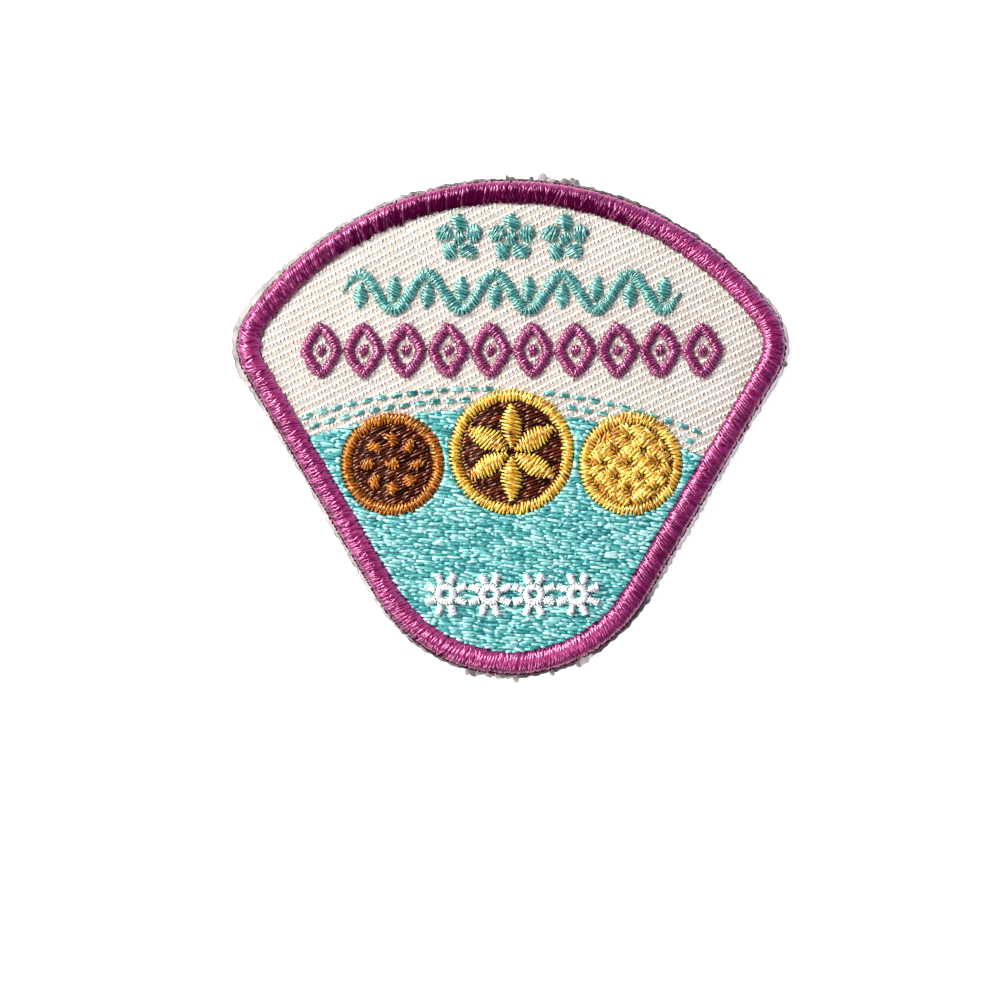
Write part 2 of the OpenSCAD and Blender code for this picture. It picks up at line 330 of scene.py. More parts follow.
@dataclass
class Bundle:
    """A mesh that grows thread by thread, with a tone and a twist coordinate on each."""

    seed: int = 0
    points: list[Array] = field(default_factory=list)
    tones: list[Array] = field(default_factory=list)
    quads: list[Array] = field(default_factory=list)
    quad_uvs: list[Array] = field(default_factory=list)
    tris: list[Array] = field(default_factory=list)
    tri_uvs: list[Array] = field(default_factory=list)
    count: int = 0
    rng: np.random.Generator = field(init=False)

    def __post_init__(self) -> None:
        """Starts the source of the threads' small differences."""
        self.rng = np.random.default_rng(self.seed)

    def _grow(self, points: Array, tones: Array) -> int:
        """Adds points.

        Args:
            points: The new points.
            tones: Their tones.
        Returns:
            The index of the first new point.
        """
        first = self.count
        self.points.append(points.reshape(-1, 3))
        self.tones.append(tones.ravel())
        self.count += self.points[-1].shape[0]
        return first

    def threads(
        self, paths: Array, half_w: float | Array, half_h: float | Array, tones: Array,
        sides: int = 6, across: Array | None = None,
    ) -> None:
        """Adds closed threads with pointed ends along paths that all have as many points.

        Args:
            paths: Centrelines, as threads by points by xyz.
            half_w: Half width of a thread, or one for each thread and point.
            half_h: Half height of a thread, or one for each thread and point.
            tones: Tone of each thread, or of each of its points, from 0 to 1.
            sides: Sides of the section.
            across: Direction of the section's width, where it isn't level.
        """
        many, along = paths.shape[:2]
        ahead = np.concatenate([paths[:, 1:], paths[:, -1:]], axis=1)
        behind = np.concatenate([paths[:, :1], paths[:, :-1]], axis=1)
        run = unit(ahead - behind)
        level = np.cross(UP, run) if across is None else across
        ring = sections(paths, run, level, half_w, half_h, sides)[:, 1:-1].reshape(many, -1, 3)
        tone = np.asarray(tones, float)
        tone = np.broadcast_to(tone if tone.ndim == 2 else tone[:, None], (many, along))
        inner = np.repeat(tone[:, 1:-1], sides, axis=1)
        each = (along - 2) * sides + 2
        first = self._grow(
            np.concatenate([paths[:, :1], ring, paths[:, -1:]], axis=1),
            np.concatenate([tone[:, :1], inner, tone[:, -1:]], axis=1),
        )
        start = first + np.arange(many)[:, None, None] * each
        length = lengths(paths)

        def twist(point: int | Array, column: Array) -> Array:
            """Twist coordinates of corners, from their places along the threads and round them."""
            turned = np.broadcast_to(column / sides, (many, len(column)))
            return np.stack([length[:, point + 0 * column], turned], -1)

        i, j, k = cells(along - 3, sides)
        low, up = 1 + i * sides, 1 + (i + 1) * sides
        self.quads.append((start + np.stack([low + j, low + k, up + k, up + j], -1)).reshape(-1, 4))
        corners = [twist(i + 1, j), twist(i + 1, j + 1), twist(i + 2, j + 1), twist(i + 2, j)]
        self.quad_uvs.append(np.stack(corners, -2).reshape(-1, 4, 2))

        _, j, k = cells(1, sides)
        last = each - 1 - sides
        head = np.stack([0 * j, 1 + k, 1 + j], -1)
        tail = np.stack([last + j, last + k, 0 * j + each - 1], -1)
        self.tris.append((start + np.concatenate([head, tail])).reshape(-1, 3))
        head = [twist(0, j), twist(1, j + 1), twist(1, j)]
        tail = [twist(along - 2, j), twist(along - 2, j + 1), twist(along - 1, j)]
        corners = np.concatenate([np.stack(head, -2), np.stack(tail, -2)], axis=1)
        self.tri_uvs.append(corners.reshape(-1, 3, 2))

    def loop(self, path: Array, half_w: float, half_h: float, sides: int, tone: float) -> None:
        """Adds a closed ring of thread padding along a closed path.

        Args:
            path: The centreline, one point a row.
            half_w: Half width of the ring's section.
            half_h: Half height of the ring's section.
            sides: Sides of the section.
            tone: Tone of the whole ring.
        """
        count = len(path)
        run = unit(np.roll(path, -1, axis=0) - np.roll(path, 1, axis=0))
        body = sections(path, run, np.cross(UP, run), half_w, half_h, sides)
        first = self._grow(body, np.full(count * sides, tone))
        i, j, k = cells(count, sides)
        n = (i + 1) % count
        self.quads.append(
            first + np.stack([i * sides + j, i * sides + k, n * sides + k, n * sides + j], -1)
        )
        self.quad_uvs.append(np.stack([i, j, i, k, n, k, n, j], -1).reshape(-1, 4, 2) / sides)

    def shell(self, rings: Array, top: Array, bottom: Array, tones: Array) -> None:
        """Adds a closed flat body through rings, from the middle of its top to that of its back.

        Args:
            rings: Rings by points by xyz, each counter-clockwise from above.
            top: The middle of the top.
            bottom: The middle of the back.
            tones: Tone of each point of the rings.
        """
        count, sides = rings.shape[:2]
        body = np.concatenate([rings.reshape(-1, 3), [top], [bottom]])
        first = self._grow(body, np.append(tones, [tones[0, 0], tones[-1, 0]]))
        i, j, k = cells(count - 1, sides)
        low, up = i * sides, (i + 1) * sides
        quads = np.stack([low + j, up + j, up + k, low + k], -1)
        _, j, k = cells(1, sides)
        apex, last = count * sides, (count - 1) * sides
        head = np.stack([0 * j + apex, j, k], -1)
        tail = np.stack([last + j, 0 * j + apex + 1, last + k], -1)
        tris = np.concatenate([head, tail])
        self.quads.append(first + quads)
        self.quad_uvs.append(body[quads][..., :2])
        self.tris.append(first + tris)
        self.tri_uvs.append(body[tris][..., :2])

    def piece(self, name: str, material: bpy.types.Material) -> bpy.types.Object:
        """Writes the bundle as one mesh object at the origin.

        Args:
            name: Name of the piece.
            material: Its material.
        Returns:
            The object, linked to the scene.
        """
        faces = [np.concatenate(self.quads), np.concatenate(self.tris)]
        uvs = [np.concatenate(part).reshape(-1) for part in (self.quad_uvs, self.tri_uvs)]
        corners = np.concatenate([part.ravel() for part in faces])
        sizes = np.concatenate([np.full(len(part), part.shape[1]) for part in faces])
        places = np.concatenate(self.points) * MM
        mesh = bpy.data.meshes.new(name)
        mesh.vertices.add(self.count)
        mesh.vertices.foreach_set("co", places.ravel().astype(np.float32))
        mesh.loops.add(len(corners))
        mesh.loops.foreach_set("vertex_index", corners.astype(np.int32))
        mesh.polygons.add(len(sizes))
        mesh.polygons.foreach_set("loop_start", (np.cumsum(sizes) - sizes).astype(np.int32))
        mesh.polygons.foreach_set("use_smooth", np.ones(len(sizes), bool))
        layer = mesh.uv_layers.new(name=THREAD_UV)
        layer.uv.foreach_set("vector", np.concatenate(uvs).astype(np.float32))
        tone = mesh.attributes.new(TONE, "FLOAT", "POINT")
        tone.data.foreach_set("value", np.concatenate(self.tones).astype(np.float32))
        mesh.update(calc_edges=True)
        mesh.validate()
        mesh.materials.append(material)
        obj = bpy.data.objects.new(name, mesh)
        bpy.context.scene.collection.objects.link(obj)
        return obj

    def triangles(self) -> int:
        """Triangles of the bundle so far."""
        return 2 * sum(len(q) for q in self.quads) + sum(len(t) for t in self.tris)


@dataclass(frozen=True)
class Satin:
    """How a column of satin stitches is laid: parallel threads across a path."""

    pitch: float = 0.2
    half_w: float = 0.12
    half_h: float = 0.1
    rise: float = SATIN_T
    base_z: float = WORK_Z
    lean: float = 0.22
    raggedness: float = 0.08
    unevenness: float = 0.045

    # Where a thread's points lie across the column, in half widths, and how high, in swells
    SHARES: ClassVar[Array] = np.array([-1.1, -1.0, -0.84, -0.5, 0.0, 0.5, 0.84, 1.0, 1.1])
    CROWN: ClassVar[Array] = np.array([-0.25, 0.12, 0.52, 0.88, 1.0, 0.88, 0.52, 0.12, -0.25])
    # Range of the threads' tones, and the painted highlight that lightens their tips
    TONES: ClassVar[tuple[float, float]] = (0.12, 0.65)
    TIP_HIGHLIGHT: ClassVar[float] = 0.55
    # How far a thread strays, in pitches, and the length that the path's direction is read over
    JITTER: ClassVar[float] = 0.12
    PROBE: ClassVar[float] = 0.12
    # The padding's width and height, as shares of the column's
    PADDING: ClassVar[tuple[float, float]] = (0.82, 0.84)
    PADDING_SIDES: ClassVar[int] = 8
    # The padding's deep tone is painted shade in the gaps between the threads
    PADDING_SHADE_TONE: ClassVar[float] = 0.1

    def lay(self, bundle: Bundle, path: Array, halves: float | Array, closed: bool = False) -> None:
        """Adds one column with its padding.

        Args:
            bundle: The mesh that takes the threads.
            path: Middle of the column, one point in the plane a row.
            halves: Half width of the column, or one at each point.
            closed: Whether the path joins its own start.
        """
        rng = bundle.rng
        halves = np.broadcast_to(halves, len(path))
        if closed:
            path, halves = looped(path), looped(halves)
        at = lengths(path)
        count = max(3, round(at[-1] / self.pitch))
        spots = (np.arange(count) + 0.5) / count * at[-1]
        spots = spots + rng.normal(0, self.JITTER * self.pitch, count)
        spots = np.mod(spots, at[-1]) if closed else np.clip(spots, 0, at[-1])
        ahead, behind = spots + self.PROBE, spots - self.PROBE
        if closed:
            ahead, behind = np.mod(ahead, at[-1]), np.mod(behind, at[-1])
        run = unit(trace(ahead, at, path) - trace(behind, at, path))
        left = np.stack([-run[:, 1], run[:, 0]], -1)
        half = np.interp(spots, at, halves)
        ragged = self.raggedness / np.maximum(half, 0.2)[:, None]
        shares = self.SHARES * (1 + ragged * rng.normal(0, 1, (count, 1)))
        shares = shares + 0.7 * ragged * rng.normal(0, 1, (count, 1))
        zigzag = np.where(np.arange(count) % 2, 0.5, -0.5) * self.pitch / np.maximum(half, 0.25)
        drift = (self.lean + zigzag)[:, None, None]
        reach = (shares * half[:, None])[..., None]
        flat = trace(spots, at, path)[:, None] + reach * (left[:, None] + drift * run[:, None])
        crown = self.swell(half) + rng.normal(0, self.unevenness, count)
        tilt = rng.normal(0, 1.5 * self.unevenness, (count, 1)) * self.SHARES
        z = self.base_z + self.CROWN * crown[:, None] + tilt
        z = z + rng.normal(0, 0.5 * self.unevenness, z.shape)
        # Painted highlight: the tone rises towards each thread's tips
        tones = rng.uniform(*self.TONES, (count, 1)) + self.TIP_HIGHLIGHT * self.SHARES**2
        bundle.threads(lifted(flat, z), self.half_w, self.half_h, tones)
        wide, high = self.PADDING
        if closed:
            wide, high = wide * halves.mean(), high * self.swell(halves).mean()
            core = lifted(path[:-1], self.base_z)
            bundle.loop(core, wide, high, self.PADDING_SIDES, self.PADDING_SHADE_TONE)
        else:
            inner = np.linspace(0, at[-1], max(6, count // 2))
            half = np.interp(inner, at, halves)
            core = lifted(trace(inner, at, path), self.base_z)[None]
            tones = np.array([self.PADDING_SHADE_TONE])
            wide, high = wide * half[None], high * self.swell(half)[None]
            bundle.threads(core, wide, high, tones, self.PADDING_SIDES)

    def swell(self, half: Array) -> Array:
        """How high the middle of a thread rises over a column of some half width."""
        return np.clip(half / (1.1 * self.rise), 0.45, 1.0) * (self.rise - self.half_h)

    def leaf(
        self, bundle: Bundle, centre: Point | Array, turn: float, span: tuple[float, float],
        width: float,
    ) -> None:
        """Adds a leaf that is pointed at both ends.

        Args:
            bundle: The mesh that takes the threads.
            centre: The point that the leaf is measured from.
            turn: Direction of the leaf, in degrees.
            span: Distances of its two tips from the centre.
            width: Its greatest width.
        """
        share = np.linspace(0, 1, 13)
        path = np.asarray(centre) + (span[0] + (span[1] - span[0]) * share)[:, None] * toward(turn)
        self.lay(bundle, path, width / 2 * np.maximum(np.sin(math.pi * share) ** 0.8, 0.14))

    def dot(self, bundle: Bundle, centre: Array, radius: float) -> None:
        """Adds a round knot of parallel threads.

        Args:
            bundle: The mesh that takes the threads.
            centre: Its middle.
            radius: Its radius.
        """
        share = np.linspace(-0.94, 0.94, 11)
        path = centre + radius * share[:, None] * toward(25)
        self.lay(bundle, path, radius * np.sqrt(1 - share**2))


@dataclass(frozen=True)
class Filling:
    """How a flat area is filled: rows of running stitches over laid padding."""

    angle: float = 0.0
    pitch: float = 0.42
    stitch: float = 2.4
    scatter: float = 0.16
    half_w: float = 0.2
    half_h: float = 0.13
    hump: float = 0.1
    wander: float = 0.05
    slew: float = 0.0
    swing: float = 0.1

    # Where a stitch's points lie along it, and how high, in humps
    SHARES: ClassVar[Array] = np.array([0.0, 0.06, 0.2, 0.38, 0.55, 0.75, 0.93, 1.0])
    LIFT: ClassVar[Array] = np.array([-0.9, -0.2, 0.55, 1.0, 0.95, 0.5, -0.25, -0.9])
    # Step of the search for the area's edges, and the steps that a row has to be longer than
    PROBE: ClassVar[float] = 0.05
    FEWEST: ClassVar[int] = 4
    # The shortest stitch at a row's end, and a stitch's length as a share of its own place
    SHORTEST: ClassVar[float] = 0.45
    OVERLAP: ClassVar[float] = 1.06
    # Spread of a stitch's slope, of its height and of each of its points' heights
    SLOPE: ClassVar[float] = 0.05
    SETTLE: ClassVar[float] = 0.025
    FUZZ: ClassVar[float] = 0.015
    PADDING_SHARES: ClassVar[Array] = np.array([0.0, 0.02, 0.5, 0.98, 1.0])
    # The padding's deep tone is painted shade in the gaps between the stitches
    PADDING_SHADE_TONE: ClassVar[float] = 0.08

    def runs(self, region: Region, reach: float, middle: Point = (0.0, 0.0)) -> Array:
        """The straight rows that cover a region.

        Args:
            region: Test for the points of the area.
            reach: Half of a square's side that holds the area.
            middle: A point near the middle of the area.
        Returns:
            Each row's distance from the middle and its first and last length along it.
        """
        spots = np.arange(-reach, reach, self.PROBE)
        found = []
        for row in np.arange(-reach, reach, self.pitch):
            inside = region(np.asarray(middle) + row * self.over() + spots[:, None] * self.along())
            edges = np.flatnonzero(np.diff(np.concatenate([[0], inside.astype(int), [0]])))
            found += [
                (row, spots[a], spots[b - 1])
                for a, b in zip(edges[::2], edges[1::2]) if b - a > self.FEWEST
            ]
        return np.array(found)

    def along(self) -> Array:
        """The direction of the rows."""
        return toward(self.angle)

    def over(self) -> Array:
        """The direction from row to row."""
        return toward(self.angle + 90)

    def points(
        self, rows: Array, share: Array, aside: float | Array = 0.0, middle: Point = (0.0, 0.0)
    ) -> Array:
        """Points along rows.

        Args:
            rows: Each row's distance from the middle and its first and last length along it.
            share: Where the points lie on a row, from 0 to 1.
            aside: How far they stray to its left.
            middle: The point that the rows are measured from.
        Returns:
            The points, as rows by points by xy.
        """
        row, start, stop = rows.T[..., None]
        where = (start + (stop - start) * share)[..., None]
        side = (row + aside + 0 * share)[..., None]
        return np.asarray(middle) + where * self.along() + side * self.over()

    def lay(self, bundle: Bundle, region: Region, middle: Point, reach: float) -> None:
        """Fills a region from the cloth up to the height of fillings.

        Args:
            bundle: The mesh that takes the threads.
            region: Test for the points of the area.
            middle: A point near the middle of the area.
            reach: Half of a square's side that holds the area.
        """
        rng = bundle.rng
        rows = self.runs(region, reach, middle)
        stitches = []
        for row, start, stop in rows:
            shift = rng.uniform(0, self.stitch)
            first = math.floor((start - shift) / self.stitch)
            last = math.ceil((stop - shift) / self.stitch)
            cuts = shift + self.stitch * np.arange(first, last + 1)
            cuts = np.sort(cuts + rng.normal(0, self.scatter * self.stitch, len(cuts)))
            cuts = cuts[(cuts > start + self.SHORTEST) & (cuts < stop - self.SHORTEST)]
            cuts = [start, *cuts, stop]
            stitches += [(row, a, b) for a, b in zip(cuts[:-1], cuts[1:])]
        many = len(stitches)
        aside = rng.normal(0, self.wander, (many, 1))
        aside = aside + rng.normal(self.slew, self.swing, (many, 1)) * (self.SHARES - 0.5)
        share = 0.5 + self.OVERLAP * (self.SHARES - 0.5)
        flat = self.points(np.array(stitches), share, aside, middle)
        crest = FILL_Z - self.half_h - self.hump
        tilt = rng.normal(0, self.SLOPE, (many, 1)) * (self.SHARES - 0.5)
        z = crest + self.hump * self.LIFT + rng.normal(0, self.SETTLE, (many, 1)) + tilt
        z = z + rng.normal(0, self.FUZZ, z.shape)
        wide = self.half_w * (0.75 + 0.25 * np.sin(math.pi * self.SHARES))
        bundle.threads(lifted(flat, z), wide, self.half_h, rng.uniform(0.1, 0.95, many))
        core_z = (WORK_Z + crest) / 2 - 0.05
        core = lifted(self.points(rows, self.PADDING_SHARES, 0.0, middle), core_z)
        tones = np.full(len(rows), self.PADDING_SHADE_TONE)
        bundle.threads(core, 0.85 * self.pitch, core_z - WORK_Z + 0.12, tones)


class Nodes:
    """A small helper that builds the nodes of a material or a world."""

    def __init__(self, owner: bpy.types.Material | bpy.types.World, shader: str) -> None:
        """Starts the nodes.

        Args:
            owner: The material or world.
            shader: Name of the shader that it comes with.
        """
        owner.use_nodes = True
        self.owner = owner
        self.tree = owner.node_tree
        self.shader = self.tree.nodes[shader]
        self.where = self.add("ShaderNodeTexCoord", {}).outputs

    def feed(self, socket: bpy.types.NodeSocket, value: object) -> None:
        """Gives a socket a constant, or joins it to another socket.

        Args:
            socket: The input socket.
            value: The constant, or the output socket.
        """
        if isinstance(value, bpy.types.NodeSocket):
            self.tree.links.new(value, socket)
        else:
            socket.default_value = value

    def set(self, inputs: dict[str, object]) -> None:
        """Feeds inputs of the shader."""
        for socket, value in inputs.items():
            self.feed(self.shader.inputs[socket], value)

    def add(self, kind: str, inputs: dict[str | int, object], **settings: object) -> bpy.types.Node:
        """Adds a node.

        Args:
            kind: The node's type.
            inputs: What its sockets are fed.
            settings: Values for its attributes.
        Returns:
            The node.
        """
        node = self.tree.nodes.new(kind)
        for key, value in settings.items():
            setattr(node, key, value)
        for socket, value in inputs.items():
            self.feed(node.inputs[socket], value)
        return node

    def math(self, operation: str, *values: object) -> bpy.types.NodeSocket:
        """The result of a math node that is fed sockets or numbers."""
        return self.add("ShaderNodeMath", dict(enumerate(values)), operation=operation).outputs[0]

    def tone(self) -> bpy.types.NodeSocket:
        """The thread's tone."""
        node = self.add("ShaderNodeAttribute", {}, attribute_name=TONE, attribute_type="GEOMETRY")
        return node.outputs["Fac"]

    def noise(self, scale: float, detail: float) -> bpy.types.NodeSocket:
        """A noise from 0 to 1 over the object's own place."""
        inputs = {"Vector": self.where["Object"], "Scale": scale, "Detail": detail}
        return self.add("ShaderNodeTexNoise", inputs).outputs["Fac"]

    def ramp(
        self, value: bpy.types.NodeSocket, stops: list[tuple[float, Colour]]
    ) -> bpy.types.NodeSocket:
        """Adds a colour ramp.

        Args:
            value: What it reads.
            stops: Positions and colours.
        Returns:
            Its colour.
        """
        node = self.add("ShaderNodeValToRGB", {"Fac": value})
        points = node.color_ramp.elements
        while len(points) < len(stops):
            points.new(0.5)
        for point, (position, colour) in zip(points, stops):
            point.position = position
            point.color = (*colour, 1.0)
        return node.outputs["Color"]

    def bump(self, height: bpy.types.NodeSocket, strength: float, depth: float) -> None:
        """Adds relief to the shader.

        Args:
            height: The relief.
            strength: Its strength.
            depth: Its depth.
        """
        inputs = {"Strength": strength, "Distance": depth * MM, "Height": height}
        self.set({"Normal": self.add("ShaderNodeBump", inputs).outputs["Normal"]})


def principled(name: str) -> Nodes:
    """Starts a material with a principled shader."""
    return Nodes(bpy.data.materials.new(name), "Principled BSDF")


@dataclass(frozen=True)
class Rayon:
    """Glossy embroidery thread, twisted, in one dye."""

    name: str
    shade: Colour
    dye: Colour
    light: Colour
    gleam: Colour
    roughness: float = 0.32
    index: float = 1.8
    patchy: float = 0.3
    flecks: float = 0.9
    relief: float = 0.7

    # Length of a twist in millimetres, and how streaky the gloss is
    TWIST: ClassVar[float] = 1.8
    STREAK: ClassVar[float] = 0.6
    # Noise scales, per metre, of the dye's clouds, of its specks and of the fibres
    CLOUDS: ClassVar[float] = 420.0
    SPECKS: ClassVar[float] = 2400.0
    FIBRES: ClassVar[float] = 9000.0

    @property
    def slot(self) -> str:
        """The record's slot of this thread."""
        return f"{self.name}_thread"

    def material(self) -> bpy.types.Material:
        """Makes the thread's material.

        Returns:
            A material that reads each thread's tone and twist coordinate, and loses its
            gloss where the tone is deep: a painted shade on the reflections that follows the tone.
        """
        kit = principled(f"{self.name}_rayon")
        tone = kit.tone()
        clouds = kit.noise(self.CLOUDS, 3.0)
        cloudy = kit.math("MULTIPLY_ADD", clouds, self.patchy, -0.5 * self.patchy)
        lowered = kit.math("ADD", cloudy, -0.5 * self.flecks)
        mixed = kit.math("MULTIPLY_ADD", kit.noise(self.SPECKS, 1.0), self.flecks, lowered)
        stops = [(0.0, self.shade), (0.42, self.dye), (1.0, self.light)]
        thread = kit.add("ShaderNodeUVMap", {}, uv_map=THREAD_UV).outputs["UV"]
        parts = kit.add("ShaderNodeSeparateXYZ", {"Vector": thread}).outputs
        turns = kit.math("MULTIPLY_ADD", parts["X"], 1 / self.TWIST, parts["Y"])
        ply = kit.math("SINE", kit.math("MULTIPLY", turns, 4 * math.pi))
        fibre = kit.noise(self.FIBRES, 2.0)
        height = kit.math("MULTIPLY_ADD", fibre, 0.35, kit.math("MULTIPLY", ply, 0.5))
        kit.bump(height, self.relief, 0.03)
        # Painted shade on the gloss: where the tone is deep, the reflections are turned down too
        gloss = kit.math("MAXIMUM", kit.math("MULTIPLY_ADD", tone, 2.5, 0.1), 0.0)
        tangent = kit.add("ShaderNodeTangent", {}, direction_type="UV_MAP", uv_map=THREAD_UV)
        kit.set({
            "Base Color": kit.ramp(kit.math("ADD", tone, mixed), stops),
            "Roughness": kit.math("MULTIPLY_ADD", fibre, 0.2, self.roughness - 0.1),
            "IOR": self.index,
            "Specular IOR Level": kit.math("MINIMUM", gloss, 1.0),
            "Specular Tint": (*self.gleam, 1.0),
            "Anisotropic": self.STREAK,
            "Anisotropic Rotation": 0.25,
            "Tangent": tangent.outputs["Tangent"],
        })
        return kit.owner


@dataclass(frozen=True)
class Cotton:
    """Dull or slightly glossy yarn of the twill ground."""

    name: str
    groove: Colour
    yarn: Colour
    crown: Colour
    roughness: float = 0.5
    slot: str = "cream_twill"

    def material(self) -> bpy.types.Material:
        """Makes the yarn's material.

        Returns:
            A material with fibres, uneven tone and a soft sheen.
        """
        kit = principled(self.name)
        stain = kit.math("MULTIPLY_ADD", kit.noise(130.0, 4.0), 0.6, -0.3)
        fibre = kit.noise(7000.0, 3.0)
        stops = [(0.0, self.groove), (0.45, self.yarn), (1.0, self.crown)]
        kit.bump(fibre, 0.5, 0.02)
        kit.set({
            "Base Color": kit.ramp(kit.math("ADD", kit.tone(), stain), stops),
            "Roughness": kit.math("MULTIPLY_ADD", fibre, 0.25, self.roughness - 0.1),
            "IOR": 1.6,
            "Specular IOR Level": 0.8,
            "Sheen Weight": 0.2,
            "Sheen Roughness": 0.5,
        })
        return kit.owner


@dataclass(frozen=True)
class SealFilm:
    """Thin whitish film that seals the back, torn at its edge."""

    # Painted shadow for the rim, the film's own colour, and painted light for the side that the border
    # shades
    painted_shadow: Colour = (0.07, 0.058, 0.062)
    clean: Colour = (0.54, 0.47, 0.46)
    painted_light: Colour = (0.95, 0.89, 0.90)
    # The film glows a little: painted light
    glow: float = 0.42
    slot: str = "backing_film"

    def material(self) -> bpy.types.Material:
        """Makes the film's material.

        Returns:
            A waxy, slightly clouded plastic with the stitches pressed through it, which glows
            a little as painted light and takes painted shadow and painted light from its tone.
        """
        kit = principled("heat_seal_film")
        cloud = kit.noise(600.0, 4.0)
        weave = kit.add(
            "ShaderNodeTexWave", {"Scale": 260.0, "Distortion": 3.0, "Vector": kit.where["Object"]},
            wave_type="BANDS", bands_direction="DIAGONAL",
        )
        # The tone carries the rim's painted shadow and painted light; the clouds are the film's own
        # stains
        shade_and_stain = kit.math("ADD", kit.tone(), kit.math("MULTIPLY_ADD", cloud, 0.8, -0.4))
        base = kit.ramp(shade_and_stain, [(0.0, self.painted_shadow), (0.5, self.clean), (1.0, self.painted_light)])
        grain = kit.noise(3500.0, 3.0)
        kit.bump(kit.math("MULTIPLY_ADD", weave.outputs["Fac"], 0.5, grain), 0.5, 0.05)
        kit.set({
            "Base Color": base,
            # Painted light: the film glows in its own colour
            "Emission Color": base,
            "Emission Strength": self.glow,
            "Roughness": kit.math("MULTIPLY_ADD", cloud, 0.3, 0.3),
            "Transmission Weight": 0.2,
            "IOR": 1.45,
            "Subsurface Weight": 0.2,
            "Subsurface Radius": (0.4 * MM, 0.35 * MM, 0.3 * MM),
            "Subsurface Scale": 1.0,
        })
        return kit.owner


Finish = Rayon | Cotton | SealFilm

ORCHID = Rayon(
    "orchid", (0.055, 0.001, 0.022), (0.20, 0.001, 0.078), (0.43, 0.05, 0.19), (1.0, 0.40, 0.70),
    0.28, index=2.0, flecks=0.3, relief=0.4,
)
PLUM = Rayon(
    "plum", (0.035, 0.001, 0.014), (0.15, 0.002, 0.060), (0.36, 0.025, 0.17), (1.0, 0.50, 0.74),
    0.28, index=2.1,
)
AQUA = Rayon(
    "aqua", (0.02, 0.22, 0.23), (0.075, 0.43, 0.42), (0.42, 0.78, 0.75), (1.0, 1.0, 1.0),
    0.46, index=1.65, patchy=0.5,
)
TEAL = Rayon(
    "teal", (0.006, 0.10, 0.10), (0.014, 0.22, 0.20), (0.20, 0.62, 0.55), (0.85, 1.0, 0.97), index=2.0
)
SNOW = Rayon(
    "white", (0.60, 0.62, 0.62), (0.88, 0.89, 0.88), (0.95, 0.95, 0.95), (1.0, 1.0, 1.0), 0.45
)
GOLD = Rayon(
    "gold", (0.15, 0.03, 0.002), (0.72, 0.33, 0.010), (1.0, 0.82, 0.15), (1.0, 0.94, 0.45),
    index=2.1, patchy=1.0,
)
AMBER = Rayon("amber", (0.16, 0.04, 0.006), (0.46, 0.17, 0.012), (0.64, 0.29, 0.03), (1.0, 0.85, 0.45))
STRAW = Rayon(
    "straw", (0.24, 0.05, 0.003), (0.75, 0.33, 0.012), (1.0, 0.86, 0.18), (1.0, 0.96, 0.48),
    index=2.1, patchy=1.2,
)
COCOA = Rayon(
    "cocoa", (0.009, 0.001, 0.001), (0.052, 0.005, 0.002), (0.17, 0.028, 0.008), (1.0, 0.60, 0.42),
    0.26, index=1.6, flecks=0.5, relief=0.3,
)
RUST = Rayon("rust", (0.07, 0.012, 0.003), (0.34, 0.07, 0.006), (0.62, 0.20, 0.012), (1.0, 0.75, 0.3))
YARN = Cotton("cream_warp", (0.60, 0.535, 0.47), (0.78, 0.71, 0.64), (0.87, 0.81, 0.74), 0.4)
# The weft is painted darker than the warp: painted shade in the grooves between the floats
SHADED_WEFT = Cotton("shaded_greige_weft", (0.42, 0.375, 0.325), (0.53, 0.475, 0.415), (0.74, 0.68, 0.605), 0.6)


@dataclass
class Piece:
    """What every sub-assembly of the patch has in common."""

    made: list[bpy.types.Object] = field(default_factory=list, init=False)

    def fix(self, bundle: Bundle, name: str, finish: Finish, *nodes: str) -> bpy.types.Object:
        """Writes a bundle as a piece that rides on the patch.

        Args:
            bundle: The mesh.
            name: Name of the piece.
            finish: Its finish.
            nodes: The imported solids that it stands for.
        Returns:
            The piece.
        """
        obj = bundle.piece(name, finish.material())
        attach(obj, BODY)
        if nodes:
            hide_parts(*nodes)
        self.made.append(obj)
        LOG.info("%s: %d triangles", name, bundle.triangles())
        return obj


class RimSection(NamedTuple):
    """The film's rim at one place, as seen going round from the right-hand corner."""

    share: float
    reach: float
    # How much lighter or darker the film is painted here: painted light at the right, where the
    # border's shadow falls on the film, and painted shade from the upper right to the crown and at the
    # foot
    painted_lightness: float


